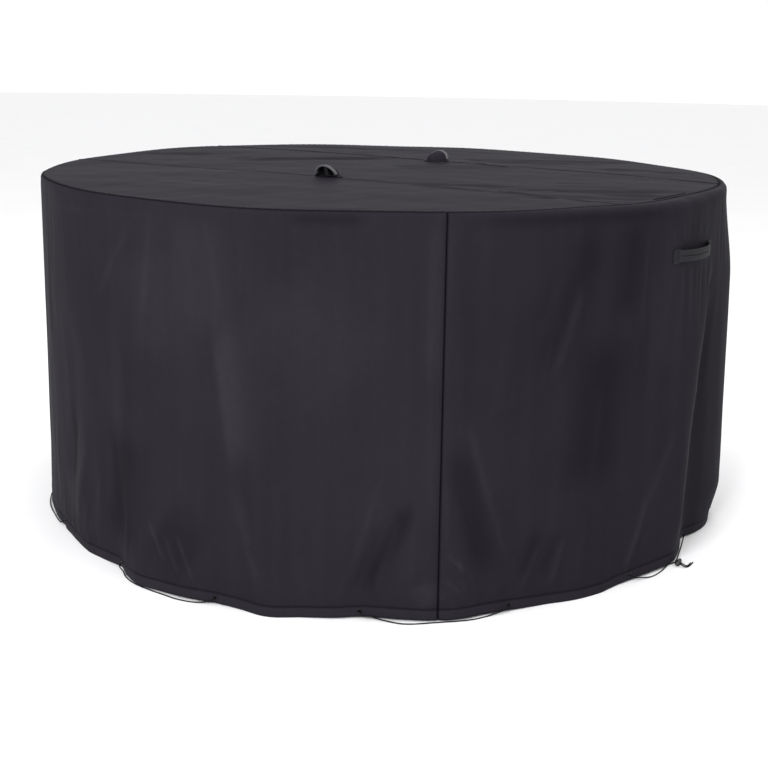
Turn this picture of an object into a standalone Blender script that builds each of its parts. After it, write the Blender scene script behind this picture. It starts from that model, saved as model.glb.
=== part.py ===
"""Round cover for garden furniture, hanging from its own top, hollow and open below.

Metres, +Z up, front towards -Y. The origin is on the underside of the top, at its centre, where the
cover is held up. Angles are in degrees, from the front round to the right (+X). Heights in the tables
are above the ground. A "run" is a distance along the cloth from the rim's corner: negative on the top,
towards the centre, and positive down the skirt.
"""

from collections import namedtuple
from math import atan2, ceil, cos, degrees, exp, hypot, pi, radians, sin, sqrt

import bmesh
import bpy
from mathutils import Matrix, Vector

# ---- driving dimensions -------------------------------------------------------------------------

TOP_RADIUS = 0.900  # the round top, to the rim's corner
DROP = 0.900  # from the rim down to the ground
CROWN = 0.009  # how much higher the top's centre is than its rim
CLOTH = 0.0018  # coated polyester
GAP = 0.0003  # between pieces that are sewn or pressed together

TOP_SEAM_OFFSET = 0.300  # the two seams of the top run this far each side of its centre
TOP_SEAM_FACING = -33.0  # the direction that the near seam faces
SKIRT_SEAMS = (-81.6, 8.4, 98.4, 188.4)
SEAM_DRAW_IN = 0.003  # how far a skirt seam pulls the cloth in
SEAM_DRAW_WIDTH = 0.8  # degrees

HEM_DEPTH = 0.025  # the turned-up edge, from the fold to its stitching
HEM_CHANNEL = 0.004  # clear width of the drawcord's channel
HEM_FOLD = 0.003  # height of the round fold at the very bottom

EYELET_RADIUS = 0.006
EYELET_BORE = 0.0027
EYELET_WALL = 0.0006
EYELET_HEIGHT = 0.014  # above the lower edge of the hem
EYELET_HOLE = 0.0037  # radius of the hole punched in the hem's outer layer
EYELET_SEAT = 0.0004  # between its ring and the curved hem
EYELET_ROLL = 0.0013  # how far its ring stands up
EYELET_DEPTH = CLOTH + 0.0012  # its barrel's reach into the hem
EYELET_SIDES = 10

CORD_RADIUS = 0.0015
LOCK_CLEARANCE = 0.0004

HANDLE_HEIGHT = 0.775
HANDLE_ANGLES = (54.0, 234.0)
HANDLE_WIDTH = 0.032
HANDLE_GRIP_WIDTH = 0.027
HANDLE_TAB = 0.0020
HANDLE_GRIP = 0.0045
HANDLE_LENGTH = 0.212
HANDLE_STAND = 0.018  # clear space for the fingers, at the middle
HANDLE_TAB_LENGTH = 0.022
HANDLE_BOW = 2.6  # the higher, the flatter the grip and the steeper its ends

VENT_HALF_WIDTH = 0.032
VENT_RISE = 0.029
VENT_DEPTH = 0.038
VENT_LEAN = 0.014  # how far the top of the mouth leans out over its feet
VENT_FLANGE = 0.007
VENT_SEAT = 0.0006  # between a hood's flange and the crowned top under it
BINDING_DEPTH = 0.007
BINDING_CLOTH = 0.0011

RIM = -CROWN + CLOTH  # the rim's height in the part's own frame
GROUND = RIM - DROP

# ---- tables -------------------------------------------------------------------------------------

Hem = namedtuple("Hem", "angle radius rise")
HEM = (
    Hem(-76.0, 0.908, 0.000),
    Hem(-70.0, 0.898, 0.002),
    Hem(-66.4, 0.892, 0.003),
    Hem(-58.0, 0.892, 0.001),
    Hem(-53.0, 0.893, 0.000),
    Hem(-48.0, 0.883, 0.002),
    Hem(-44.0, 0.885, 0.005),
    Hem(-40.0, 0.914, 0.005),
    Hem(-37.0, 0.928, 0.006),
    Hem(-33.0, 0.926, 0.006),
    Hem(-28.0, 0.920, 0.006),
    Hem(-24.0, 0.910, 0.004),
    Hem(-19.7, 0.913, 0.001),
    Hem(-15.0, 0.929, 0.000),
    Hem(-10.8, 0.913, 0.001),
    Hem(-6.6, 0.905, 0.003),
    Hem(-2.5, 0.897, 0.005),
    Hem(0.4, 0.902, 0.006),
    Hem(3.2, 0.912, 0.006),
    Hem(8.4, 0.920, 0.004),
    Hem(11.7, 0.917, 0.005),
    Hem(14.9, 0.905, 0.005),
    Hem(19.2, 0.896, 0.004),
    Hem(24.5, 0.892, 0.000),
    Hem(31.3, 0.900, 0.000),
    Hem(35.4, 0.898, 0.000),
    Hem(39.6, 0.891, 0.002),
    Hem(42.8, 0.896, 0.005),
    Hem(46.8, 0.904, 0.006),
    Hem(51.4, 0.911, 0.006),
    Hem(53.8, 0.910, 0.005),
    Hem(58.0, 0.893, 0.005),
    Hem(64.0, 0.872, 0.005),
    Hem(68.0, 0.896, 0.002),
    Hem(74.0, 0.919, 0.000),
    Hem(80.0, 0.915, 0.002),
    Hem(86.0, 0.905, 0.004),
    Hem(97.0, 0.930, 0.005),
    Hem(109.0, 0.900, 0.004),
    Hem(120.0, 0.925, 0.001),
    Hem(132.0, 0.899, 0.004),
    Hem(144.0, 0.931, 0.005),
    Hem(155.0, 0.903, 0.004),
    Hem(167.0, 0.922, 0.000),
    Hem(178.0, 0.897, 0.004),
    Hem(190.0, 0.928, 0.005),
    Hem(201.0, 0.900, 0.004),
    Hem(212.0, 0.924, 0.001),
    Hem(224.0, 0.899, 0.004),
    Hem(236.0, 0.930, 0.005),
    Hem(247.0, 0.902, 0.004),
    Hem(259.0, 0.926, 0.000),
    Hem(270.0, 0.900, 0.004),
    Hem(278.0, 0.918, 0.003),
)

# A fold's middle runs from its top to its foot, and bows aside by "bow" degrees half way. Left and right
# are its widths in degrees.
Fold = namedtuple("Fold", "top_height top_angle foot_height foot_angle left right out bow", defaults=(0.0,))
FOLDS = (
    # the crisp fold under the right-hand handle, the valley behind it and the swell past that
    Fold(0.77, 63.0, 0.02, 53.4, 4.5, 1.6, 0.0130, -2.4),
    Fold(0.74, 67.0, 0.02, 60.0, 2.4, 4.0, -0.0130, -1.6),
    Fold(0.90, 78.0, 0.00, 76.0, 8.0, 9.0, 0.0240),
    Fold(0.38, 50.5, 0.02, 41.5, 2.6, 1.8, 0.0070),
    Fold(0.84, 42.5, 0.40, 43.0, 3.4, 3.4, 0.0045),
    Fold(0.82, 37.0, 0.25, 38.0, 3.0, 3.0, -0.0040),
    Fold(0.86, 27.0, 0.56, 20.0, 2.2, 2.2, -0.0045),
    Fold(0.80, 29.0, 0.48, 24.0, 2.4, 2.4, 0.0045),
    # either side of the front seam
    Fold(0.46, 12.6, 0.08, 20.5, 2.6, 3.0, 0.0050, -1.2),
    Fold(0.48, 10.4, 0.05, 17.0, 1.7, 2.0, -0.0080, -1.7),
    Fold(0.30, 2.6, 0.03, -3.4, 2.0, 2.0, -0.0085),
    Fold(0.40, 5.4, 0.12, 4.6, 1.8, 2.2, 0.0040),
    # the left of the front: a broad swell, the fan from the rim, ridges that die out above the hem
    Fold(0.76, -25.0, 0.22, -18.0, 4.2, 3.4, 0.0075),
    Fold(0.80, -27.0, 0.40, -23.5, 2.2, 2.2, -0.0050),
    Fold(0.88, -20.0, 0.66, -21.5, 1.9, 1.9, -0.0040),
    Fold(0.88, -15.0, 0.70, -14.5, 1.9, 1.9, -0.0035),
    Fold(0.88, -36.5, 0.64, -46.0, 2.2, 2.2, 0.0045),
    Fold(0.88, -33.0, 0.52, -35.5, 2.0, 2.0, 0.0040),
    Fold(0.34, -42.0, 0.06, -44.5, 2.6, 2.0, -0.0060),
    Fold(0.40, -51.5, 0.05, -57.5, 2.6, 2.0, 0.0075),
    Fold(0.38, -56.5, 0.14, -59.5, 2.2, 2.2, -0.0050),
    Fold(0.26, -39.5, 0.02, -41.0, 1.8, 1.8, 0.0050),
    Fold(0.24, -35.5, 0.02, -30.0, 1.9, 1.9, 0.0060),
    Fold(0.86, -66.0, 0.10, -66.0, 5.0, 5.0, 0.0045),
    # the sides and the back
    Fold(0.70, 92.0, 0.02, 86.0, 4.0, 3.0, -0.0080),
    Fold(0.78, 104.0, 0.02, 108.0, 3.5, 3.5, -0.0090),
    Fold(0.60, 116.0, 0.02, 121.0, 4.5, 3.5, 0.0080),
    Fold(0.82, 131.0, 0.02, 134.0, 3.5, 3.5, -0.0085),
    Fold(0.70, 147.0, 0.02, 143.0, 4.0, 4.0, 0.0090),
    Fold(0.66, 158.0, 0.02, 154.0, 3.5, 3.5, -0.0080),
    Fold(0.80, 172.0, 0.02, 179.0, 3.5, 4.0, -0.0090),
    Fold(0.60, 194.0, 0.02, 191.0, 3.0, 3.0, 0.0070),
    Fold(0.72, 205.0, 0.02, 200.0, 3.5, 3.5, -0.0080),
    Fold(0.84, 219.0, 0.02, 225.0, 3.5, 3.5, -0.0085),
    Fold(0.62, 233.0, 0.02, 237.0, 4.0, 4.0, 0.0085),
    Fold(0.74, 251.0, 0.02, 247.0, 3.5, 3.5, -0.0085),
    Fold(0.66, 262.0, 0.02, 266.0, 4.0, 4.0, 0.0070),
)
FOLD_FADE = 0.12  # a fold fades in over this height at each of its ends, and above the hem
HEM_SWELL_FADE = 1.7  # how soon the hem's swells die out up the skirt

Crease = namedtuple("Crease", "x0 y0 x1 y1 half_width lift")
TOP_CREASES = (
    Crease(-0.42, 0.19, 0.00, 0.30, 0.024, -0.0045),
    Crease(-0.38, 0.25, 0.02, 0.35, 0.020, 0.0025),
    Crease(0.02, 0.06, 0.42, 0.13, 0.022, -0.0045),
    Crease(0.05, 0.01, 0.40, 0.08, 0.020, 0.0025),
    Crease(0.05, -0.38, 0.30, -0.42, 0.020, -0.0045),
    Crease(0.28, -0.48, 0.68, -0.43, 0.022, -0.0060),
    Crease(0.26, -0.54, 0.66, -0.50, 0.018, 0.0040),
    Crease(0.32, -0.63, 0.58, -0.58, 0.018, -0.0040),
    Crease(-0.47, -0.10, -0.33, -0.13, 0.030, -0.0030),
    Crease(0.25, 0.33, 0.72, 0.40, 0.028, -0.0055),
    Crease(0.28, 0.27, 0.62, 0.31, 0.026, 0.0030),
    Crease(-0.72, 0.41, -0.50, 0.37, 0.030, -0.0045),
    Crease(0.60, 0.13, 0.84, 0.05, 0.030, -0.0040),
    Crease(-0.40, 0.72, 0.20, 0.66, 0.035, -0.0040),
)
TOP_FADE = 0.07  # creases die out this far from the rim

Rim = namedtuple("Rim", "angle seam_in bend")
RIM_SHAPE = (
    # how far inside the rim's corner the seam lies, and the corner's bend
    Rim(-80.0, 0.004, 0.010),
    Rim(-30.0, 0.005, 0.010),
    Rim(5.0, 0.006, 0.011),
    Rim(17.0, 0.012, 0.014),
    Rim(30.0, 0.026, 0.020),
    Rim(40.0, 0.032, 0.024),
    Rim(53.0, 0.048, 0.030),
    Rim(63.0, 0.036, 0.024),
    Rim(75.0, 0.022, 0.012),
    Rim(95.0, 0.008, 0.008),
    Rim(140.0, 0.005, 0.012),
    Rim(200.0, 0.006, 0.013),
    Rim(240.0, 0.004, 0.010),
)

RIM_LIFT = 0.0075
RIM_LIFT_ANGLE, RIM_LIFT_WIDTH = 205.0, 34.0  # degrees

EYELET_ANGLES = (
    -66.4, -43.6, -23.7, -2.5, 19.2, 42.0, 63.8, 86.2,
    109.3, 132.4, 155.5, 178.6, 201.7, 224.8, 247.9, 271.0,
)  # fmt: skip

Lay = namedtuple("Lay", "angle stand height")
# The drawcord outside the hem: between which eyelets, and the points that it is laid through (how far its
# middle stands out from the hem's face, negative under the hem's edge, and its height).
CORD_STEP = 0.040  # the longest straight piece of a tube
GROUND_LINE = CORD_RADIUS + 0.0001
CORD_RUNS = {
    "left_front": (
        -43.6,
        -23.7,
        (
            Lay(-42.4, 0.0050, 0.0090),
            Lay(-41.0, 0.0025, 0.0030),
            Lay(-38.5, -0.0030, GROUND_LINE),
            Lay(-35.0, -0.0040, GROUND_LINE),
            Lay(-32.0, 0.0010, GROUND_LINE),
            Lay(-29.5, 0.0065, GROUND_LINE),
            Lay(-27.0, 0.0065, GROUND_LINE),
            Lay(-25.3, 0.0060, 0.0050),
        ),
    ),
    "front": (
        -2.5,
        19.2,
        (
            Lay(-1.0, 0.0060, 0.0110),
            Lay(0.6, 0.0050, 0.0040),
            Lay(3.8, 0.0110, GROUND_LINE),
            Lay(8.5, 0.0040, GROUND_LINE),
            Lay(12.8, 0.0060, GROUND_LINE),
            Lay(15.4, 0.0060, GROUND_LINE),
            Lay(17.3, 0.0060, 0.0060),
        ),
    ),
    "right_side": (86.2, 109.3, (Lay(91.0, 0.006, 0.006), Lay(97.7, 0.005, 0.004), Lay(104.0, 0.006, 0.006))),
    "back_right": (132.4, 155.5, (Lay(137.0, 0.006, 0.006), Lay(144.0, 0.005, 0.004), Lay(151, 0.006, 0.006))),
    "back": (178.6, 201.7, (Lay(183.0, 0.006, 0.006), Lay(190.0, 0.005, 0.004), Lay(197.0, 0.006, 0.006))),
    "back_left": (224.8, 247.9, (Lay(229.0, 0.006, 0.006), Lay(236.0, 0.005, 0.004), Lay(243.0, 0.006, 0.006))),
    "left_side": (271.0, 293.6, (Lay(275.5, 0.006, 0.006), Lay(282.0, 0.005, 0.004), Lay(289.0, 0.006, 0.006))),
}


# ---- the cloth's shape --------------------------------------------------------------------------


def outward(angle):
    return Vector((sin(radians(angle)), -cos(radians(angle)), 0.0))


def smooth_step(x):
    x = min(1.0, max(0.0, x))
    return x * x * (3 - 2 * x)


def turned(angle, start):
    """The same direction, as an angle from start up to start + 360."""
    return start + (angle - start) % 360.0


def cyclic(table, column, angle):
    """A smooth curve round the cover, through the table's values of one column."""
    angle = turned(angle, table[0].angle)
    count = len(table)
    k = max(i for i in range(count) if table[i].angle <= angle + 1e-9)

    def knot(i):
        laps, at = divmod(i, count)
        return table[at].angle + 360.0 * laps, getattr(table[at], column)

    (a0, v0), (a1, v1), (a2, v2), (a3, v3) = (knot(k + step) for step in (-1, 0, 1, 2))
    span = a2 - a1
    t = (angle - a1) / span
    slope1 = (v2 - v0) / (a2 - a0) * span
    slope2 = (v3 - v1) / (a3 - a1) * span
    return (
        v1 * (2 * t**3 - 3 * t**2 + 1)
        + slope1 * (t**3 - 2 * t**2 + t)
        + v2 * (3 * t**2 - 2 * t**3)
        + slope2 * (t**3 - t**2)
    )


def difference(angle, other):
    """angle - other, between -180 and 180."""
    return (angle - other + 180.0) % 360.0 - 180.0


def fold_relief(fold, angle, height):
    span = fold.top_height - fold.foot_height
    part = (fold.top_height - height) / span
    if not 0.0 <= part <= 1.0:
        return 0.0
    middle = fold.top_angle + (fold.foot_angle - fold.top_angle) * part + 4 * fold.bow * part * (1 - part)
    off = difference(angle, middle)
    width = fold.left if off < 0 else fold.right
    ends = smooth_step((fold.top_height - height) / (2 * FOLD_FADE)) * smooth_step(
        (height - fold.foot_height) / FOLD_FADE
    )
    return fold.out * ends * exp(-((off / width) ** 2))


def skirt_relief(angle, height):
    """How far the skirt stands out from a plain cylinder."""
    swell = max(0.0, 1 - height / DROP) ** HEM_SWELL_FADE
    out = (cyclic(HEM, "radius", angle) - TOP_RADIUS) * swell
    out += sum(fold_relief(fold, angle, height) for fold in FOLDS)
    for seam in SKIRT_SEAMS:
        out -= SEAM_DRAW_IN * exp(-((difference(angle, seam) / SEAM_DRAW_WIDTH) ** 2))
    return out * smooth_step((DROP - height) / 0.06)


def crease_relief(crease, x, y):
    start, end = Vector((crease.x0, crease.y0)), Vector((crease.x1, crease.y1))
    along = end - start
    at = Vector((x, y)) - start
    part = at.dot(along) / along.length_squared
    off = abs(at.x * along.y - at.y * along.x) / along.length
    ends = smooth_step((part + 0.15) / 0.35) * smooth_step((1.15 - part) / 0.35)
    return crease.lift * ends * exp(-((off / crease.half_width) ** 2))


def rim_height(angle):
    """The rim isn't quite level: it ripples by a few millimetres, and stands higher at the back."""
    a = radians(angle)
    lift = RIM_LIFT * exp(-((difference(angle, RIM_LIFT_ANGLE) / RIM_LIFT_WIDTH) ** 2))
    return RIM + lift + 0.0012 * sin(5 * a + 0.6) + 0.0009 * sin(11 * a + 2.0)


def top_height(x, y):
    radius = hypot(x, y)
    angle = degrees(atan2(x, -y))
    inside = TOP_RADIUS - radius
    bend = cyclic(RIM_SHAPE, "bend", angle)
    fall = max(0.0, 1 - sqrt(max(0.0, inside) / bend))
    edge = smooth_step(radius / TOP_RADIUS)
    height = RIM + (rim_height(angle) - RIM) * edge - bend * fall * fall
    height += CROWN * (1 - (radius / TOP_RADIUS) ** 2)
    creases = sum(crease_relief(crease, x, y) for crease in TOP_CREASES)
    return height + creases * smooth_step(inside / TOP_FADE)


def cover_point(angle, run):
    """The outer face of the cloth."""
    bend = cyclic(RIM_SHAPE, "bend", angle)
    if run <= -bend:
        radius = TOP_RADIUS + run
        place = outward(angle) * radius
        place.z = top_height(place.x, place.y)
        return place
    if run < 0:
        fall = (run + bend) / (2 * bend)
        radius = TOP_RADIUS - bend * (1 - fall) ** 2
        place = outward(angle) * radius
        place.z = top_height(place.x, place.y)
        return place
    fall = min(1.0, (run + bend) / (2 * bend))
    height = DROP - run
    radius = TOP_RADIUS - bend * (1 - fall) ** 2 + skirt_relief(angle, height)
    place = outward(angle) * radius
    if run < bend:
        place.z = rim_height(angle) - bend * fall * fall
    else:
        settle = smooth_step((run - bend) / 0.3)
        place.z = rim_height(angle) * (1 - settle) + RIM * settle - run
    return place


def cover_normal(angle, run):
    turn, step = 0.25, 0.002
    across = cover_point(angle + turn, run) - cover_point(angle - turn, run)
    down = cover_point(angle, run + step) - cover_point(angle, run - step)
    return down.cross(across).normalized()


def top_normal(x, y):
    step = 0.002
    slope_x = (top_height(x + step, y) - top_height(x - step, y)) / (2 * step)
    slope_y = (top_height(x, y + step) - top_height(x, y - step)) / (2 * step)
    return Vector((-slope_x, -slope_y, 1.0)).normalized()


# ---- columns and rows of the skirt's mesh -------------------------------------------------------

EYELET_FACET = 0.6  # degrees each side of an eyelet that stay one flat facet
ColumnStep = namedtuple("ColumnStep", "start step")
COLUMN_STEPS = (
    # the front, then finer columns behind a handle and round the crisp fold, then the rest
    ColumnStep(-81.6, 4.1),
    ColumnStep(44.0, 1.9),
    ColumnStep(63.5, 2.8),
    ColumnStep(86.0, 6.0),
    ColumnStep(225.0, 2.3),
    ColumnStep(248.0, 6.0),
)


def column_angles(start, end):
    """Where the skirt's mesh has its columns, from one seam to the next."""
    stops = [start, end]
    for eyelet in EYELET_ANGLES:
        for stop in (eyelet - EYELET_FACET, eyelet + EYELET_FACET):
            stop = turned(stop, SKIRT_SEAMS[0])
            if start < stop < end:
                stops.append(stop)
    stops.sort()
    angles = []
    for low, high in zip(stops, stops[1:]):
        step = max((row for row in COLUMN_STEPS if row.start <= low + 0.01), key=lambda row: row.start).step
        count = max(1, ceil((high - low) / step))
        angles += [low + (high - low) * i / count for i in range(count)]
    return angles + [end]


SHOULDER_ROWS = 3
SIDE_ROWS = (0.15, 0.26, 0.39, 0.53, 0.68, 0.82, 0.93, 1.0)


def column_runs(angle):
    """The runs of the rows down one column, from the rim's seam to the hem's stitching."""
    start = -cyclic(RIM_SHAPE, "seam_in", angle) + GAP
    bend = cyclic(RIM_SHAPE, "bend", angle)
    stitching = DROP - cyclic(HEM, "rise", angle) - HEM_DEPTH
    shoulder = [start + (bend - start) * i / SHOULDER_ROWS for i in range(SHOULDER_ROWS + 1)]
    return shoulder + [bend + (stitching - bend) * part for part in SIDE_ROWS]


def hem_profile():
    """The hem below its stitching, as (inwards, above its lower edge): down the outer layer, round the
    fold, up the inner layer, and back down and up inside the channel."""
    inner = CLOTH + HEM_CHANNEL
    bulge = 0.6 * HEM_DEPTH
    return (
        (0.0, HEM_FOLD),
        (CLOTH, 0.0),
        (inner, 0.0),
        (inner + CLOTH, HEM_FOLD),
        (inner + CLOTH, bulge),
        (2 * CLOTH + GAP, HEM_DEPTH),
        (CLOTH + GAP, HEM_DEPTH),
        (inner, bulge),
        (inner, HEM_FOLD),
        (inner - CLOTH * 0.6, CLOTH),
        (CLOTH * 1.6, CLOTH),
        (CLOTH, HEM_FOLD),
    )


def hem_point(angle, inwards, above):
    run = DROP - cyclic(HEM, "rise", angle) - above
    return cover_point(angle, run) - cover_normal(angle, run) * inwards


def skirt_section(angle):
    """The closed outline of the skirt's cloth in one column."""
    runs = column_runs(angle)
    outside = [cover_point(angle, run) for run in runs]
    hem = [hem_point(angle, inwards, above) for inwards, above in hem_profile()]
    inside = [cover_point(angle, run) - cover_normal(angle, run) * CLOTH for run in reversed(runs)]
    return outside + hem + inside


# ---- making objects -----------------------------------------------------------------------------


def clear_scene():
    for item in list(bpy.data.objects):
        bpy.data.objects.remove(item, do_unlink=True)


def material(name, colour, roughness, metallic=0.0):
    made = bpy.data.materials.new(name)
    made.use_nodes = True
    shader = made.node_tree.nodes["Principled BSDF"]
    shader.inputs["Base Color"].default_value = (*colour, 1.0)
    shader.inputs["Roughness"].default_value = roughness
    shader.inputs["Metallic"].default_value = metallic
    made.diffuse_color = (*colour, 1.0)
    return made


def add_object(name, mesh, finish, sharp_above=40.0):
    mesh.materials.append(finish)
    mesh.shade_smooth()
    mesh.set_sharp_from_angle(angle=radians(sharp_above))
    made = bpy.data.objects.new(name, mesh)
    bpy.context.scene.collection.objects.link(made)
    return made


def mesh_from(name, work):
    bmesh.ops.recalc_face_normals(work, faces=work.faces)
    mesh = bpy.data.meshes.new(name)
    work.to_mesh(mesh)
    work.free()
    return mesh


def lofted(name, sections, finish, closed=False):
    """A solid through closed sections that all have as many points; its ends are capped."""
    work = bmesh.new()
    rings = [[work.verts.new(point) for point in section] for section in sections]
    pairs = list(zip(rings, rings[1:] + rings[:1])) if closed else list(zip(rings, rings[1:]))
    for ring, following in pairs:
        count = len(ring)
        for i in range(count):
            work.faces.new((ring[i], ring[(i + 1) % count], following[(i + 1) % count], following[i]))
    if not closed:
        work.faces.new(rings[0])
        work.faces.new(rings[-1])
    return add_object(name, mesh_from(name, work), finish)


def punch(name, work):
    """A hidden shape that cuts a hole."""
    mesh = bpy.data.meshes.new(name)
    work.to_mesh(mesh)
    work.free()
    cutter = bpy.data.objects.new(name, mesh)
    bpy.context.scene.collection.objects.link(cutter)
    cutter.hide_render = True
    cutter.display_type = "WIRE"
    return cutter


def box_punch(name, place, width, depth, height):
    work = bmesh.new()
    bmesh.ops.create_cube(work, size=1.0, matrix=place @ Matrix.Diagonal((width, depth, height, 1.0)))
    return punch(name, work)


def cut(piece, name, cutter):
    hole = piece.modifiers.new(name, "BOOLEAN")
    hole.operation = "DIFFERENCE"
    hole.solver = "EXACT"
    hole.object = cutter


def frame_at(origin, x_axis, z_axis):
    """A placing matrix: its X along x_axis, its Z along z_axis as nearly as X allows."""
    x_axis = x_axis.normalized()
    y_axis = z_axis.cross(x_axis).normalized()
    z_axis = x_axis.cross(y_axis).normalized()
    placed = Matrix((x_axis, y_axis, z_axis)).transposed().to_4x4()
    placed.translation = origin
    return placed


# ---- the skirt ----------------------------------------------------------------------------------

PUNCH_OUT, PUNCH_IN = 0.006, CLOTH + 0.5 * HEM_CHANNEL  # how far an eyelet's punch reaches each way


def eyelet_frame(angle):
    """At an eyelet's centre on the hem's outer facet: X along the hem, Y up it, Z out of the cloth."""
    low, high = HEM_FOLD, HEM_DEPTH
    corners = [hem_point(angle + side * EYELET_FACET, 0.0, above) for above in (low, high) for side in (-1, 1)]
    share = (EYELET_HEIGHT - low) / (high - low)
    left = corners[0].lerp(corners[2], share)
    right = corners[1].lerp(corners[3], share)
    along = right - left
    up = (corners[2] + corners[3]) - (corners[0] + corners[1])
    return frame_at(left.lerp(right, 0.5), along, along.cross(up))


def hole_cutter(name, angles):
    """The punches of one panel's eyelet holes, each through the outer layer only."""
    work = bmesh.new()
    for angle in angles:
        middle = Matrix.Translation((0, 0, (PUNCH_OUT - PUNCH_IN) / 2))
        bmesh.ops.create_cone(
            work,
            cap_ends=True,
            segments=EYELET_SIDES,
            radius1=EYELET_HOLE,
            radius2=EYELET_HOLE,
            depth=PUNCH_OUT + PUNCH_IN,
            matrix=eyelet_frame(angle) @ middle,
        )
    return punch(name, work)


def build_skirt(cloth):
    names = ("skirt_front_left", "skirt_front_right", "skirt_back_right", "skirt_back_left")
    for name, start in zip(names, SKIRT_SEAMS):
        angles = column_angles(start, start + 90.0)
        edge = degrees(GAP / TOP_RADIUS) * 0.75
        angles[0] += edge
        angles[-1] -= edge
        panel = lofted(name, [skirt_section(angle) for angle in angles], cloth)
        own = [a for a in EYELET_ANGLES if start < turned(a, SKIRT_SEAMS[0]) < start + 90.0]
        cut(panel, "eyelet_holes", hole_cutter(name + "_punch", own))


# ---- the top ------------------------------------------------------------------------------------

TOP_RINGS = (1.0, 0.955, 0.87, 0.75, 0.62, 0.48, 0.34, 0.18)
TOP_GAP = 0.0006


def thicken(work, thickness):
    """Turns an open sheet of the top into a solid by adding its underside."""
    faces, rims = list(work.faces), [edge for edge in work.edges if edge.is_boundary]
    below = {v: work.verts.new(v.co - top_normal(v.co.x, v.co.y) * thickness) for v in list(work.verts)}
    for face in faces:
        work.faces.new([below[v] for v in reversed(face.verts)])
    for edge in rims:
        a, b = edge.verts
        work.faces.new((a, b, below[b], below[a]))


def top_sheet():
    """The whole round top as one open sheet, its edge on the rim's seam."""
    angles = []
    for start in SKIRT_SEAMS:
        angles += column_angles(start, start + 90.0)[:-1]
    angles = angles[::2]
    work = bmesh.new()
    rings = []
    for part in TOP_RINGS:
        ring = []
        for angle in angles:
            edge = cyclic(RIM_SHAPE, "seam_in", angle) + TOP_GAP
            ring.append(work.verts.new(cover_point(angle, -(edge + (TOP_RADIUS - edge) * (1 - part)))))
        rings.append(ring)
    count = len(angles)
    for outer, inner in zip(rings, rings[1:]):
        for i in range(count):
            k = (i + 1) % count
            work.faces.new((outer[i], outer[k], inner[k], inner[i]))
    centre = work.verts.new((0.0, 0.0, top_height(0.0, 0.0)))
    for i in range(count):
        work.faces.new((rings[-1][i], rings[-1][(i + 1) % count], centre))
    return work


def build_top(cloth):
    facing = outward(TOP_SEAM_FACING)
    edges = {
        "top_front_panel": (TOP_SEAM_OFFSET + GAP / 2, None),
        "top_centre_panel": (-TOP_SEAM_OFFSET + GAP / 2, TOP_SEAM_OFFSET - GAP / 2),
        "top_back_panel": (None, -TOP_SEAM_OFFSET - GAP / 2),
    }
    for name, (low, high) in edges.items():
        work = top_sheet()
        for limit, side in ((low, 1), (high, -1)):
            if limit is not None:
                bmesh.ops.bisect_plane(
                    work,
                    geom=list(work.verts) + list(work.edges) + list(work.faces),
                    dist=1e-6,
                    plane_co=facing * limit,
                    plane_no=facing * side,
                    clear_inner=True,
                )
        bmesh.ops.dissolve_degenerate(work, dist=1e-4, edges=work.edges)
        thicken(work, CLOTH)
        panel = add_object(name, mesh_from(name, work), cloth)
        if name == "top_centre_panel":
            for vent in VENTS:
                cut(panel, vent.name + "_opening", vent_cutter(vent))


# ---- the vents ----------------------------------------------------------------------------------

Vent = namedtuple("Vent", "name facing along")  # along its seam from the middle
VENTS = (Vent("front_vent", TOP_SEAM_FACING, 0.021), Vent("back_vent", TOP_SEAM_FACING + 180.0, 0.010))


def vent_frame(vent):
    """At the middle of a vent's mouth, on the top: X along the seam, -Y out of the mouth, Z up."""
    facing = outward(vent.facing)
    along = Vector((-facing.y, facing.x, 0.0))
    place = facing * (TOP_SEAM_OFFSET - 0.002) + along * vent.along
    centre = place - facing * VENT_DEPTH / 2
    normal = top_normal(centre.x, centre.y)
    origin = Vector((place.x, place.y, top_height(place.x, place.y))) + normal * VENT_SEAT
    return frame_at(origin, along, normal)


def leant(x, y, z):
    """The hood leans out of its mouth, the more the higher and the nearer to the mouth."""
    return Vector((x, y - VENT_LEAN * (z / VENT_RISE) * max(0.0, 1 - y / VENT_DEPTH), z))


def hood_point(part, theta, grow):
    """On the hood's quarter of an ellipsoid: part runs from the mouth (0) to its back (1)."""
    swell = cos(part * pi / 2)
    return leant(
        (VENT_HALF_WIDTH + grow) * swell * cos(theta),
        (VENT_DEPTH + grow) * sin(part * pi / 2),
        max(0.0, (VENT_RISE + grow) * swell * sin(theta)),
    )


HOOD_STEPS = 12
HOOD_PARTS = (0.0, 0.16, 0.36, 0.56, 0.76)
HOOD_BACK, HOOD_BACK_HEIGHT = 0.93, 0.004  # the last point of the dome


def mouth_taper(back):
    """How much narrower the hood's first facets are, this far behind its mouth."""
    first = HOOD_PARTS[1] * pi / 2
    return 1 - (1 - cos(first)) * max(0.0, back) / (VENT_DEPTH * sin(first))


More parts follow.
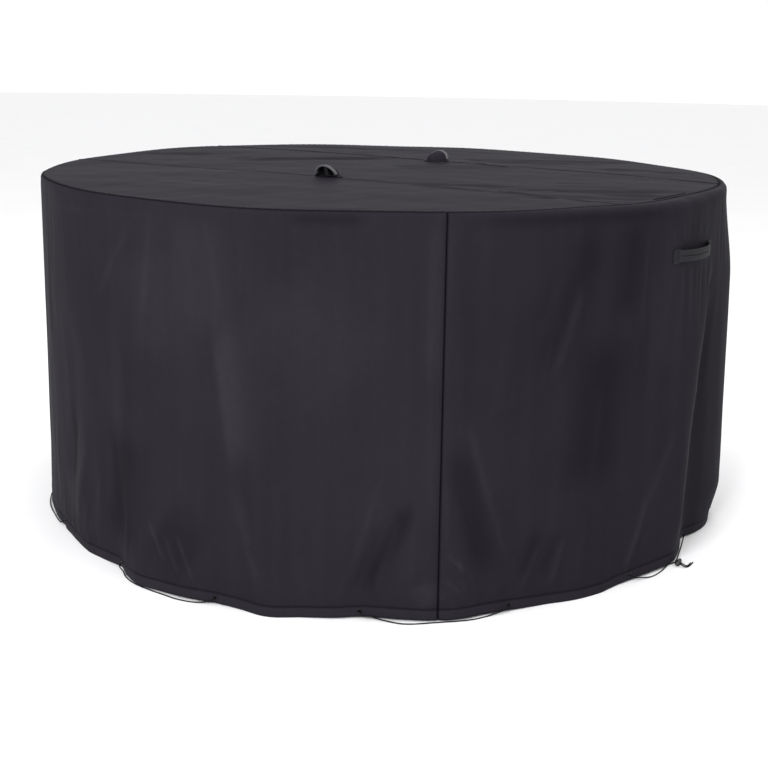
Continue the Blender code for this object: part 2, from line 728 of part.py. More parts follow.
def build_hood(vent, cloth):
    """The hood: a domed cloth shell with its mouth open and a flange sewn flat to the top."""
    place = vent_frame(vent)
    thetas = [pi * i / HOOD_STEPS for i in range(HOOD_STEPS + 1)]
    work = bmesh.new()

    def shell(grow, lift):
        rows = []
        for part in HOOD_PARTS:
            row = []
            for theta in thetas:
                point = hood_point(part, theta, grow)
                point.z = max(point.z, lift)
                row.append(work.verts.new(place @ point))
            rows.append(row)
        reach = (VENT_DEPTH + grow) * sin(HOOD_BACK * pi / 2)
        return rows, work.verts.new(place @ Vector((0.0, reach, max(lift, HOOD_BACK_HEIGHT + grow))))

    def flange(lift):
        rows = []
        for part in HOOD_PARTS:
            pair = []
            for theta in (0.0, pi):
                point = hood_point(part, theta, 0.0)
                side = 1 if theta == 0.0 else -1
                away = Vector((side * cos(part * pi / 2), sin(part * pi / 2), 0)).normalized()
                pair.append(work.verts.new(place @ (point + away * VENT_FLANGE + Vector((0, 0, lift)))))
            rows.append(pair)
        tip = work.verts.new(place @ Vector((0.0, VENT_DEPTH + VENT_FLANGE, lift)))
        return rows, tip

    outer, outer_back = shell(0.0, CLOTH)
    inner, inner_back = shell(-CLOTH, 0.0)
    upper, upper_tip = flange(CLOTH)
    lower, lower_tip = flange(0.0)
    last = len(thetas) - 1
    for rows, back, turn in ((outer, outer_back, 1), (inner, inner_back, -1)):
        for row, following in zip(rows, rows[1:]):
            for i in range(last):
                work.faces.new((row[i], row[i + 1], following[i + 1], following[i])[::turn])
        for i in range(last):
            work.faces.new((rows[-1][i], rows[-1][i + 1], back)[::turn])
    layers = ((outer, outer_back, upper, upper_tip), (inner, inner_back, lower, lower_tip))
    for shell_rows, back, rim_rows, tip in layers:
        for k in range(len(HOOD_PARTS) - 1):
            for side, at in ((0, 0), (1, last)):
                work.faces.new(
                    (shell_rows[k][at], shell_rows[k + 1][at], rim_rows[k + 1][side], rim_rows[k][side])
                )
        work.faces.new((shell_rows[-1][0], back, tip, rim_rows[-1][0]))
        work.faces.new((back, shell_rows[-1][last], rim_rows[-1][1], tip))
    for k in range(len(HOOD_PARTS) - 1):
        for side in (0, 1):
            work.faces.new((upper[k][side], upper[k + 1][side], lower[k + 1][side], lower[k][side]))
    work.faces.new((upper[-1][0], upper_tip, lower_tip, lower[-1][0]))
    work.faces.new((upper_tip, upper[-1][1], lower[-1][1], lower_tip))
    for i in range(last):
        work.faces.new((outer[0][i], outer[0][i + 1], inner[0][i + 1], inner[0][i]))
    for side, at in ((0, 0), (1, last)):
        work.faces.new((outer[0][at], upper[0][side], lower[0][side], inner[0][at]))
    add_object(vent.name + "_hood", mesh_from(vent.name + "_hood", work), cloth)


def build_binding(vent, finish):
    """The tape folded over the edge of the mouth."""
    place = vent_frame(vent)
    out = GAP + BINDING_CLOTH
    profile = (
        (GAP, BINDING_DEPTH),
        (out, BINDING_DEPTH),
        (out, -out),
        (-CLOTH - out, -out),
        (-CLOTH - out, BINDING_DEPTH),
        (-CLOTH - GAP, BINDING_DEPTH),
        (-CLOTH - GAP, -GAP),
        (GAP, -GAP),
    )
    sections = []
    for i in range(1, HOOD_STEPS):
        theta = pi * i / HOOD_STEPS
        section = []
        for grow, back in profile:
            width = VENT_HALF_WIDTH * mouth_taper(back) + grow
            rise = VENT_RISE * mouth_taper(back) + grow
            section.append(place @ leant(width * cos(theta), back, rise * sin(theta)))
        sections.append(section)
    lofted(vent.name + "_binding", sections, finish)


PROP_WIDTH = 0.010
PROP_CLOTH = 0.0015
PROP_FOOT = 0.010
PROP_BACK = 0.004  # behind the mouth
PROP_REACH = 0.93  # of the hood's rise


def build_prop(vent, finish):
    """The strap that stands in the mouth and holds it open, bent flat at its foot."""
    place = vent_frame(vent)
    top = VENT_RISE * PROP_REACH - CLOTH - 2 * GAP
    outline = (
        (0, 0),
        (0, top),
        (PROP_CLOTH, top),
        (PROP_CLOTH, PROP_CLOTH),
        (PROP_FOOT, PROP_CLOTH),
        (PROP_FOOT, 0),
    )
    sections = [
        [place @ leant(x, PROP_BACK + y, z) for y, z in outline] for x in (-PROP_WIDTH / 2, PROP_WIDTH / 2)
    ]
    lofted(vent.name + "_prop", sections, finish)


AIR_HOLE_WIDTH = 0.040
AIR_HOLE_NEAR, AIR_HOLE_FAR = 0.0155, 0.0315  # behind the mouth
AIR_HOLE_REACH = 0.020  # of its punch, through the top


def vent_cutter(vent):
    """The air hole in the top's centre panel, under the hood."""
    middle = vent_frame(vent) @ Matrix.Translation((0, (AIR_HOLE_NEAR + AIR_HOLE_FAR) / 2, 0))
    return box_punch(vent.name + "_punch", middle, AIR_HOLE_WIDTH, AIR_HOLE_FAR - AIR_HOLE_NEAR, AIR_HOLE_REACH)


# ---- handles ------------------------------------------------------------------------------------

Station = namedtuple("Station", "along stand width thick")
HANDLE_SEAT = 0.0007  # between a tab and the curved cloth behind it
GRIP_PARTS = (0.90, 0.76, 0.58, 0.32)  # where the grip has its sections, from its middle to a tab
TAB_GROOVE, GRIP_GROOVE = 0.0004, 0.0026  # along the middle, where the folded webbing's edges meet
GRIP_FROM = HANDLE_GRIP * 0.7  # thicker than this, the webbing is folded double
GROOVE_SHARE = 0.14  # of the width


def handle_stations():
    """Flat tabs at the ends, and between them a folded grip that bows out from the cloth."""
    half, free = HANDLE_LENGTH / 2, HANDLE_LENGTH / 2 - HANDLE_TAB_LENGTH
    one_side = [
        Station(half, HANDLE_SEAT, HANDLE_WIDTH, HANDLE_TAB),
        Station(free, HANDLE_SEAT, HANDLE_WIDTH, HANDLE_TAB),
    ]
    for part in GRIP_PARTS:
        stand = HANDLE_SEAT + HANDLE_STAND * (1 - part**HANDLE_BOW)
        one_side.append(Station(free * part, stand, HANDLE_GRIP_WIDTH, HANDLE_GRIP))
    other = [row._replace(along=-row.along) for row in reversed(one_side)]
    return one_side + [Station(0.0, HANDLE_SEAT + HANDLE_STAND, HANDLE_GRIP_WIDTH, HANDLE_GRIP)] + other


def handle_base(angle, along):
    """The cloth's outer face under a handle, along metres to its right, and the way out of it there."""
    at = angle + degrees(along / TOP_RADIUS)
    out = outward(at)
    run = DROP - HANDLE_HEIGHT
    half = HANDLE_WIDTH / 2
    seats = [cover_point(at + turn, run + shift) for turn in (-1, 0, 1) for shift in (-half, 0, half)]
    base = cover_point(at, run)
    return base + out * (max(seat.dot(out) for seat in seats) - base.dot(out)), out


def build_handle(name, angle, webbing):
    sections = []
    for row in handle_stations():
        base, out = handle_base(angle, row.along)
        up = Vector((0, 0, 1))
        half = row.width / 2
        middle = row.stand + row.thick - (TAB_GROOVE if row.thick < GRIP_FROM else GRIP_GROOVE)
        outline = (
            (-half, row.stand),
            (half, row.stand),
            (half, row.stand + row.thick),
            (half * GROOVE_SHARE, row.stand + row.thick),
            (0.0, middle),
            (-half * GROOVE_SHARE, row.stand + row.thick),
            (-half, row.stand + row.thick),
        )
        sections.append([base + up * rise + out * stand for rise, stand in outline])
    lofted(name, sections, webbing)


# ---- eyelets, drawcord and cord lock ------------------------------------------------------------


def build_eyelet(name, angle, metal):
    """A rolled ring on the hem's face with its barrel through the cloth."""
    barrel = EYELET_BORE + EYELET_WALL
    profile = (
        (EYELET_BORE, -EYELET_DEPTH),
        (EYELET_BORE, EYELET_SEAT + 0.6 * EYELET_ROLL),
        (EYELET_BORE + 0.0012, EYELET_SEAT + EYELET_ROLL),
        (EYELET_RADIUS, EYELET_SEAT + 0.2 * EYELET_ROLL),
        (barrel, EYELET_SEAT),
        (barrel, -EYELET_DEPTH),
    )
    place = eyelet_frame(angle)
    sections = []
    for i in range(EYELET_SIDES):
        theta = 2 * pi * i / EYELET_SIDES
        sections.append([place @ Vector((r * cos(theta), r * sin(theta), z)) for r, z in profile])
    lofted(name, sections, metal, closed=True)


def smooth_route(points, longest):
    """Points along a smooth curve through the given ones, and those themselves, at most so far apart."""
    spans = [(b - a).length for a, b in zip(points, points[1:])]
    padded = [points[0] * 2 - points[1], *points, points[-1] * 2 - points[-2]]
    made = [points[0]]
    for k, span in enumerate(spans):
        p0, p1, p2, p3 = padded[k : k + 4]
        before, after = spans[max(0, k - 1)], spans[min(len(spans) - 1, k + 1)]
        slope1 = (p2 - p0) * (span / (before + span))
        slope2 = (p3 - p1) * (span / (span + after))
        steps = ceil(span / longest)
        for i in range(1, steps + 1):
            u = i / steps
            made.append(
                p1 * (2 * u**3 - 3 * u**2 + 1)
                + slope1 * (u**3 - 2 * u**2 + u)
                + p2 * (3 * u**2 - 2 * u**3)
                + slope2 * (u**3 - u**2)
            )
    return made


def cord_object(name, points, finish):
    curve = bpy.data.curves.new(name, "CURVE")
    curve.dimensions = "3D"
    spline = curve.splines.new("POLY")
    spline.points.add(len(points) - 1)
    for place, point in zip(spline.points, points):
        place.co = (*point, 1.0)
    curve.bevel_depth = CORD_RADIUS
    curve.bevel_resolution = 2
    curve.use_fill_caps = True
    curve.materials.append(finish)
    made = bpy.data.objects.new(name, curve)
    bpy.context.scene.collection.objects.link(made)


Way = namedtuple("Way", "aside up out")
CORD_WAYS_OUT = (
    # the cord's middle as it leaves an eyelet: on the bore's lower edge, then bending down and to one side
    Way(0.0, -0.0007, -0.0042),
    Way(0.0, -0.0007, 0.0030),
    Way(0.0035, -0.0030, 0.0078),
    Way(0.0105, -0.0070, 0.0086),
)


def eyelet_exit(angle, side):
    place = eyelet_frame(angle)
    return [place @ Vector((way.aside * side, way.up, way.out)) for way in CORD_WAYS_OUT]


def laid(row):
    """A point of a cord that lies against the hem or under its edge."""
    above = max(0.004, row.height - cyclic(HEM, "rise", row.angle))
    face = hem_point(row.angle, 0.0, above)
    place = face + outward(row.angle) * row.stand
    place.z = GROUND + row.height
    return place


def build_cord_run(name, start, end, lays, finish):
    out = eyelet_exit(start, 1)
    back = list(reversed(eyelet_exit(end, -1)))
    points = out + [laid(row) for row in lays] + back
    cord_object(name, smooth_route(points, CORD_STEP), finish)


# The lock lies on the ground in front of the corner of the crisp fold, its button end tipped up. Its two
# cords pass through it side by side, away from the hem, and go on as the tails.
LOCK_ANGLE = 52.8
LOCK_OUT = 0.927  # its middle, from the cover's axis
LOCK_MIDDLE = 0.0088  # its middle's height
LOCK_AXIS = (0.60, 0.59, 0.54)
LOCK_RADIUS = 0.0065
LOCK_LENGTH = 0.0145
LOCK_BUTTON_RADIUS = 0.0042
LOCK_BUTTON = 0.0055
CORD_PITCH = 2 * CORD_RADIUS + GAP  # between the two cords in the lock
LOCK_WAY = (0.0085, 0.0040, -0.0040, -0.0085)  # the places along its own Y that a cord passes


def lock_frame():
    """Middle of the lock: X along its barrel to the button, -Y the way that the cords leave."""
    origin = outward(LOCK_ANGLE) * LOCK_OUT
    origin.z = GROUND + LOCK_MIDDLE
    return frame_at(origin, Vector(LOCK_AXIS), Vector((0, 0, 1)))


def lock_piece(name, profile, finish, steps=16):
    place = lock_frame()
    sections = []
    for x, radius in profile:
        ring = []
        for i in range(steps):
            theta = 2 * pi * (i + 0.5) / steps
            ring.append(place @ Vector((x, radius * cos(theta), radius * sin(theta))))
        sections.append(ring)
    return lofted(name, sections, finish)


def build_lock(plastic):
    half = LOCK_LENGTH / 2
    body = lock_piece(
        "cord_lock_barrel",
        (
            (-half, LOCK_RADIUS * 0.72),
            (-half + 0.0015, LOCK_RADIUS * 0.96),
            (-half + 0.0035, LOCK_RADIUS),
            (half - 0.0018, LOCK_RADIUS),
            (half, LOCK_RADIUS * 0.86),
        ),
        plastic,
    )
    lock_piece(
        "cord_lock_button",
        (
            (half + GAP, LOCK_BUTTON_RADIUS),
            (half + LOCK_BUTTON * 0.7, LOCK_BUTTON_RADIUS),
            (half + LOCK_BUTTON, LOCK_BUTTON_RADIUS * 0.7),
        ),
        plastic,
    )
    height = 2 * CORD_RADIUS + 2 * LOCK_CLEARANCE
    punched = box_punch("cord_lock_punch", lock_frame(), CORD_PITCH + height, 4 * LOCK_RADIUS, height)
    cut(body, "cord_passage", punched)


Spot = namedtuple("Spot", "angle radius height")
LockedEnd = namedtuple("LockedEnd", "name eyelet side across lays spots tail")
LOCKED_ENDS = (
    LockedEnd(
        "drawcord_long_end",
        42.0,
        1,
        -CORD_PITCH / 2,
        (Lay(43.9, 0.0080, 0.0070), Lay(46.2, 0.0110, GROUND_LINE), Lay(48.7, 0.0060, GROUND_LINE)),
        (
            Spot(51.2, 0.9078, GROUND_LINE),
            Spot(51.9, 0.9055, GROUND_LINE),
            Spot(52.5, 0.9058, GROUND_LINE),
            Spot(52.8, 0.9110, 0.0030),
        ),
        (
            Spot(52.72, 0.9450, 0.0042),
            Spot(53.24, 0.9490, GROUND_LINE),
            Spot(54.10, 0.9500, GROUND_LINE),
            Spot(55.45, 0.9480, GROUND_LINE),
        ),
    ),
    LockedEnd(
        "drawcord_short_end",
        63.8,
        -1,
        CORD_PITCH / 2,
        (Lay(61.0, 0.0080, 0.0100), Lay(57.6, 0.0040, 0.0070), Lay(55.4, 0.0036, 0.0075)),
        (Spot(54.04, 0.9148, 0.0088),),
        (
            Spot(52.98, 0.9436, 0.0064),
            Spot(53.40, 0.9454, 0.0030),
            Spot(54.10, 0.9462, GROUND_LINE),
            Spot(55.05, 0.9444, GROUND_LINE),
        ),
    ),
)


def spotted(row):
    place = outward(row.angle) * row.radius
    place.z = GROUND + row.height
    return place


def build_locked_cords(finish):
    """The drawcord's two ends: each from its eyelet to the lock, through it and on as a free tail."""
    place = lock_frame()
    for end in LOCKED_ENDS:
        points = eyelet_exit(end.eyelet, end.side) + [laid(row) for row in end.lays]
        points += [spotted(row) for row in end.spots]
        points += [place @ Vector((end.across, way, 0.0)) for way in LOCK_WAY]
        points += [spotted(row) for row in end.tail]
        cord_object(end.name, smooth_route(points, CORD_STEP), finish)


def main():
    clear_scene()
    cloth = material("coated_cloth", (0.036, 0.034, 0.040), 0.62)
    tape = material("binding_tape", (0.060, 0.058, 0.062), 0.70)
    webbing = material("handle_webbing", (0.030, 0.029, 0.033), 0.72)
    metal = material("blackened_eyelet", (0.020, 0.020, 0.022), 0.35, 0.9)
    cord = material("drawcord", (0.012, 0.012, 0.013), 0.75)
    plastic = material("lock_plastic", (0.010, 0.010, 0.011), 0.45)

    build_top(cloth)
    build_skirt(cloth)
    for vent in VENTS:
        build_hood(vent, cloth)
        build_binding(vent, tape)
        build_prop(vent, webbing)
    for name, angle in zip(("handle_right", "handle_left"), HANDLE_ANGLES):
        build_handle(name, angle, webbing)
    for number, angle in enumerate(EYELET_ANGLES, 1):
        build_eyelet(f"eyelet_{number:02d}", angle, metal)
    for name, (start, end, lays) in CORD_RUNS.items():
        build_cord_run("drawcord_" + name, start, end, lays, cord)
    build_lock(plastic)
    build_locked_cords(cord)


main()
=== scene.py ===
from collections import namedtuple
from math import ceil, cos, degrees, pi, radians, sin

import bmesh
import bpy
import numpy as np
from mathutils import Matrix, Vector


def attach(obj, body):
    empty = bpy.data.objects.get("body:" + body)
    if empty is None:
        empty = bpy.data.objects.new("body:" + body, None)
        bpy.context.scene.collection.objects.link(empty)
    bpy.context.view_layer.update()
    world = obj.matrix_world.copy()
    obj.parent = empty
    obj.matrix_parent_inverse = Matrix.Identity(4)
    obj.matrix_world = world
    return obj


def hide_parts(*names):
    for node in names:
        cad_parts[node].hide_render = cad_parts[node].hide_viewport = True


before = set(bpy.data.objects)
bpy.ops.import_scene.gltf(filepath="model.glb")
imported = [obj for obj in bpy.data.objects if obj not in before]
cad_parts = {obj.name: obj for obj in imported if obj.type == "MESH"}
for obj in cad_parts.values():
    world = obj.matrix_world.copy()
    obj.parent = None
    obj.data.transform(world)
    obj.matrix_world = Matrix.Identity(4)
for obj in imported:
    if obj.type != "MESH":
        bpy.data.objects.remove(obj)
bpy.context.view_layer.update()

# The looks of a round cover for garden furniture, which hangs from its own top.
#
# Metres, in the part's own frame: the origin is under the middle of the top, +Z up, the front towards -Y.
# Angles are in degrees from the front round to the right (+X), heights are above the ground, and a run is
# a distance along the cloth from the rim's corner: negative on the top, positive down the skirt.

# ---- sizes, as in the part's source

TOP_RADIUS = 0.900
DROP = 0.900
CROWN = 0.009
CLOTH = 0.0018
GAP = 0.0003
RIM = -CROWN + CLOTH
GROUND = RIM - DROP

TOP_SEAM_OFFSET = 0.300
TOP_SEAM_FACING = -33.0
SKIRT_SEAMS = (-81.6, 8.4, 98.4, 188.4)
SEAM_DRAW_IN = 0.003
SEAM_DRAW_WIDTH = 0.8

HEM_DEPTH = 0.025
HEM_CHANNEL = 0.004
HEM_FOLD = 0.003

EYELET_RADIUS = 0.006
EYELET_BORE = 0.0027
EYELET_HEIGHT = 0.014
EYELET_HOLE = 0.0037
EYELET_FACET = 0.6

CORD_RADIUS = 0.0015

HANDLE_HEIGHT = 0.775
HANDLE_ANGLES = (54.0, 234.0)
HANDLE_WIDTH = 0.032
HANDLE_GRIP_WIDTH = 0.027
HANDLE_TAB = 0.0020
HANDLE_GRIP = 0.0045
HANDLE_LENGTH = 0.212
HANDLE_STAND = 0.018
HANDLE_TAB_LENGTH = 0.022
HANDLE_BOW = 2.6
HANDLE_SEAT = 0.0007

VENT_HALF_WIDTH = 0.032
VENT_RISE = 0.029
VENT_DEPTH = 0.038
VENT_LEAN = 0.014
VENT_FLANGE = 0.007
VENT_SEAT = 0.0006
BINDING_DEPTH = 0.007
BINDING_CLOTH = 0.0011
Vent = namedtuple("Vent", "name facing along")  # along its seam from the middle
VENTS = (Vent("front_vent", TOP_SEAM_FACING, 0.021), Vent("back_vent", TOP_SEAM_FACING + 180.0, 0.010))

# the finishes' main colours
CLOTH_DARK, CLOTH_PALE = (0.0108, 0.0095, 0.0130), (0.0160, 0.0142, 0.0190)
# paler, for worn crests and the hem, and as painted highlight over some of the skirt's folds
CLOTH_WORN_AND_LIT = (0.026, 0.024, 0.030)
CLOTH_PAINTED_SHADE = (0.0040, 0.0036, 0.0050)  # painted shade, for the grooves of its seams and the shaded parts of the skirt's folds
CLOTH_BEND = 1.08  # its index of refraction: the coat is thin and matt

Hem = namedtuple("Hem", "angle radius rise")
HEM = [Hem(*row) for row in (
    (-76.0, 0.908, 0.000), (-70.0, 0.898, 0.002), (-66.4, 0.892, 0.003), (-58.0, 0.892, 0.001),
    (-53.0, 0.893, 0.000), (-48.0, 0.883, 0.002), (-44.0, 0.885, 0.005), (-40.0, 0.914, 0.005),
    (-37.0, 0.928, 0.006), (-33.0, 0.926, 0.006), (-28.0, 0.920, 0.006), (-24.0, 0.910, 0.004),
    (-19.7, 0.913, 0.001), (-15.0, 0.929, 0.000), (-10.8, 0.913, 0.001), (-6.6, 0.905, 0.003),
    (-2.5, 0.897, 0.005), (0.4, 0.902, 0.006), (3.2, 0.912, 0.006), (8.4, 0.920, 0.004),
    (11.7, 0.917, 0.005), (14.9, 0.905, 0.005), (19.2, 0.896, 0.004), (24.5, 0.892, 0.000),
    (31.3, 0.900, 0.000), (35.4, 0.898, 0.000), (39.6, 0.891, 0.002), (42.8, 0.896, 0.005),
    (46.8, 0.904, 0.006), (51.4, 0.911, 0.006), (53.8, 0.910, 0.005), (58.0, 0.893, 0.005),
    (64.0, 0.872, 0.005), (68.0, 0.896, 0.002), (74.0, 0.919, 0.000), (80.0, 0.915, 0.002),
    (86.0, 0.905, 0.004), (97.0, 0.930, 0.005), (109.0, 0.900, 0.004), (120.0, 0.925, 0.001),
    (132.0, 0.899, 0.004), (144.0, 0.931, 0.005), (155.0, 0.903, 0.004), (167.0, 0.922, 0.000),
    (178.0, 0.897, 0.004), (190.0, 0.928, 0.005), (201.0, 0.900, 0.004), (212.0, 0.924, 0.001),
    (224.0, 0.899, 0.004), (236.0, 0.930, 0.005), (247.0, 0.902, 0.004), (259.0, 0.926, 0.000),
    (270.0, 0.900, 0.004), (278.0, 0.918, 0.003),
)]

# A fold's middle runs from its top to its foot, and bows aside by "bow" degrees half way. Left and right
# are its widths in degrees.
Fold = namedtuple("Fold", "top_height top_angle foot_height foot_angle left right out bow", defaults=(0.0,))
FOLDS = [Fold(*row) for row in (
    # the crisp fold under the right-hand handle, the valley behind it and the swell past that
    (0.77, 63.0, 0.02, 53.4, 4.5, 1.6, 0.0130, -2.4), (0.74, 67.0, 0.02, 60.0, 2.4, 4.0, -0.0130, -1.6),
    (0.90, 78.0, 0.00, 76.0, 8.0, 9.0, 0.0240), (0.38, 50.5, 0.02, 41.5, 2.6, 1.8, 0.0070),
    (0.84, 42.5, 0.40, 43.0, 3.4, 3.4, 0.0045), (0.82, 37.0, 0.25, 38.0, 3.0, 3.0, -0.0040),
    (0.86, 27.0, 0.56, 20.0, 2.2, 2.2, -0.0045), (0.80, 29.0, 0.48, 24.0, 2.4, 2.4, 0.0045),
    # either side of the front seam
    (0.46, 12.6, 0.08, 20.5, 2.6, 3.0, 0.0050, -1.2), (0.48, 10.4, 0.05, 17.0, 1.7, 2.0, -0.0080, -1.7),
    (0.30, 2.6, 0.03, -3.4, 2.0, 2.0, -0.0085), (0.40, 5.4, 0.12, 4.6, 1.8, 2.2, 0.0040),
    # the left of the front: a broad swell, the fan from the rim, ridges that die out above the hem
    (0.76, -25.0, 0.22, -18.0, 4.2, 3.4, 0.0075), (0.80, -27.0, 0.40, -23.5, 2.2, 2.2, -0.0050),
    (0.88, -20.0, 0.66, -21.5, 1.9, 1.9, -0.0040), (0.88, -15.0, 0.70, -14.5, 1.9, 1.9, -0.0035),
    (0.88, -36.5, 0.64, -46.0, 2.2, 2.2, 0.0045), (0.88, -33.0, 0.52, -35.5, 2.0, 2.0, 0.0040),
    (0.34, -42.0, 0.06, -44.5, 2.6, 2.0, -0.0060), (0.40, -51.5, 0.05, -57.5, 2.6, 2.0, 0.0075),
    (0.38, -56.5, 0.14, -59.5, 2.2, 2.2, -0.0050), (0.26, -39.5, 0.02, -41.0, 1.8, 1.8, 0.0050),
    (0.24, -35.5, 0.02, -30.0, 1.9, 1.9, 0.0060), (0.86, -66.0, 0.10, -66.0, 5.0, 5.0, 0.0045),
    # the sides and the back
    (0.70, 92.0, 0.02, 86.0, 4.0, 3.0, -0.0080), (0.78, 104.0, 0.02, 108.0, 3.5, 3.5, -0.0090),
    (0.60, 116.0, 0.02, 121.0, 4.5, 3.5, 0.0080), (0.82, 131.0, 0.02, 134.0, 3.5, 3.5, -0.0085),
    (0.70, 147.0, 0.02, 143.0, 4.0, 4.0, 0.0090), (0.66, 158.0, 0.02, 154.0, 3.5, 3.5, -0.0080),
    (0.80, 172.0, 0.02, 179.0, 3.5, 4.0, -0.0090), (0.60, 194.0, 0.02, 191.0, 3.0, 3.0, 0.0070),
    (0.72, 205.0, 0.02, 200.0, 3.5, 3.5, -0.0080), (0.84, 219.0, 0.02, 225.0, 3.5, 3.5, -0.0085),
    (0.62, 233.0, 0.02, 237.0, 4.0, 4.0, 0.0085), (0.74, 251.0, 0.02, 247.0, 3.5, 3.5, -0.0085),
    (0.66, 262.0, 0.02, 266.0, 4.0, 4.0, 0.0070),
)]
FOLD_FADE = 0.12  # a fold fades in over this height at each of its ends, and above the hem
HEM_SWELL_FADE = 1.7  # how soon the hem's swells die out up the skirt

Crease = namedtuple("Crease", "x0 y0 x1 y1 half_width lift")
TOP_CREASES = [Crease(*row) for row in (
    (-0.42, 0.19, 0.00, 0.30, 0.024, -0.0045), (-0.38, 0.25, 0.02, 0.35, 0.020, 0.0025),
    (0.02, 0.06, 0.42, 0.13, 0.022, -0.0045), (0.05, 0.01, 0.40, 0.08, 0.020, 0.0025),
    (0.05, -0.38, 0.30, -0.42, 0.020, -0.0045), (0.28, -0.48, 0.68, -0.43, 0.022, -0.0060),
    (0.26, -0.54, 0.66, -0.50, 0.018, 0.0040), (0.32, -0.63, 0.58, -0.58, 0.018, -0.0040),
    (-0.47, -0.10, -0.33, -0.13, 0.030, -0.0030), (0.25, 0.33, 0.72, 0.40, 0.028, -0.0055),
    (0.28, 0.27, 0.62, 0.31, 0.026, 0.0030), (-0.72, 0.41, -0.50, 0.37, 0.030, -0.0045),
    (0.60, 0.13, 0.84, 0.05, 0.030, -0.0040), (-0.40, 0.72, 0.20, 0.66, 0.035, -0.0040),
)]
TOP_FADE = 0.07  # creases die out this far from the rim

Rim = namedtuple("Rim", "angle seam_in bend")
RIM_SHAPE = [Rim(*row) for row in (
    # how far inside the rim's corner the seam lies, and the corner's bend
    (-80.0, 0.004, 0.010), (-30.0, 0.005, 0.010), (5.0, 0.006, 0.011), (17.0, 0.012, 0.014),
    (30.0, 0.026, 0.020), (40.0, 0.032, 0.024), (53.0, 0.048, 0.030), (63.0, 0.036, 0.024),
    (75.0, 0.022, 0.012), (95.0, 0.008, 0.008), (140.0, 0.005, 0.012), (200.0, 0.006, 0.013),
    (240.0, 0.004, 0.010),
)]

RIM_LIFT = 0.0075
RIM_LIFT_ANGLE, RIM_LIFT_WIDTH = 205.0, 34.0  # degrees

EYELET_ANGLES = (
    -66.4, -43.6, -23.7, -2.5, 19.2, 42.0, 63.8, 86.2,
    109.3, 132.4, 155.5, 178.6, 201.7, 224.8, 247.9, 271.0,
)

# The drawcord outside the hem: between which eyelets, and the points that it is laid through: the angle,
# how far its middle stands out from the hem's face, negative under the hem's edge, and its height.
GROUND_LINE = CORD_RADIUS + 0.0001
CORD_RUNS = {
    "left_front": (-43.6, -23.7, (
        (-42.4, 0.0050, 0.0090), (-41.0, 0.0025, 0.0030), (-38.5, -0.0030, GROUND_LINE),
        (-35.0, -0.0040, GROUND_LINE), (-32.0, 0.0010, GROUND_LINE), (-29.5, 0.0065, GROUND_LINE),
        (-27.0, 0.0065, GROUND_LINE), (-25.3, 0.0060, 0.0050),
    )),
    "front": (-2.5, 19.2, (
        (-1.0, 0.0060, 0.0110), (0.6, 0.0050, 0.0040), (3.8, 0.0110, GROUND_LINE),
        (8.5, 0.0040, GROUND_LINE), (12.8, 0.0060, GROUND_LINE), (15.4, 0.0060, GROUND_LINE),
        (17.3, 0.0060, 0.0060),
    )),
    "right_side": (86.2, 109.3, ((91.0, 0.006, 0.006), (97.7, 0.005, 0.004), (104.0, 0.006, 0.006))),
    "back_right": (132.4, 155.5, ((137.0, 0.006, 0.006), (144.0, 0.005, 0.004), (151.0, 0.006, 0.006))),
    "back": (178.6, 201.7, ((183.0, 0.006, 0.006), (190.0, 0.005, 0.004), (197.0, 0.006, 0.006))),
    "back_left": (224.8, 247.9, ((229.0, 0.006, 0.006), (236.0, 0.005, 0.004), (243.0, 0.006, 0.006))),
    "left_side": (271.0, 293.6, ((275.5, 0.006, 0.006), (282.0, 0.005, 0.004), (289.0, 0.006, 0.006))),
}

LOCK_ANGLE = 52.8
LOCK_OUT = 0.927  # its middle, from the cover's axis
LOCK_MIDDLE = 0.0088  # its middle's height
LOCK_AXIS = (0.60, 0.59, 0.54)
LOCK_RADIUS = 0.0065
LOCK_LENGTH = 0.0145
LOCK_BUTTON_RADIUS = 0.0042
LOCK_BUTTON = 0.0055
CORD_PITCH = 2 * CORD_RADIUS + GAP  # between the two cords in the lock
LOCK_WAY = (0.0085, 0.0040, -0.0040, -0.0085)  # where a cord passes, along the lock's own Y
LOCK_CLEARANCE = 0.0004

# The two ends in the lock: lays against the hem as above, then spots before the lock and behind it, each by
# its angle, its distance from the cover's axis and its height.
LockedEnd = namedtuple("LockedEnd", "name eyelet side across lays spots tail")
LOCKED_ENDS = (
    LockedEnd(
        "drawcord_long_end", 42.0, 1, -CORD_PITCH / 2,
        ((43.9, 0.0080, 0.0070), (46.2, 0.0110, GROUND_LINE), (48.7, 0.0060, GROUND_LINE)),
        (
            (51.2, 0.9078, GROUND_LINE), (51.9, 0.9055, GROUND_LINE), (52.5, 0.9058, GROUND_LINE),
            (52.8, 0.9110, 0.0030),
        ),
        (
            (52.72, 0.9450, 0.0042), (53.24, 0.9490, GROUND_LINE), (54.10, 0.9500, GROUND_LINE),
            (55.45, 0.9480, GROUND_LINE),
        ),
    ),
    LockedEnd(
        "drawcord_short_end", 63.8, -1, CORD_PITCH / 2,
        ((61.0, 0.0080, 0.0100), (57.6, 0.0040, 0.0070), (55.4, 0.0036, 0.0075)),
        ((54.04, 0.9148, 0.0088),),
        (
            (52.98, 0.9436, 0.0064), (53.40, 0.9454, 0.0030), (54.10, 0.9462, GROUND_LINE),
            (55.05, 0.9444, GROUND_LINE),
        ),
    ),
)

# ---- finer creases of the cloth

SkirtCrease = namedtuple("SkirtCrease", "angle0 height0 angle1 height1 half_width lift")
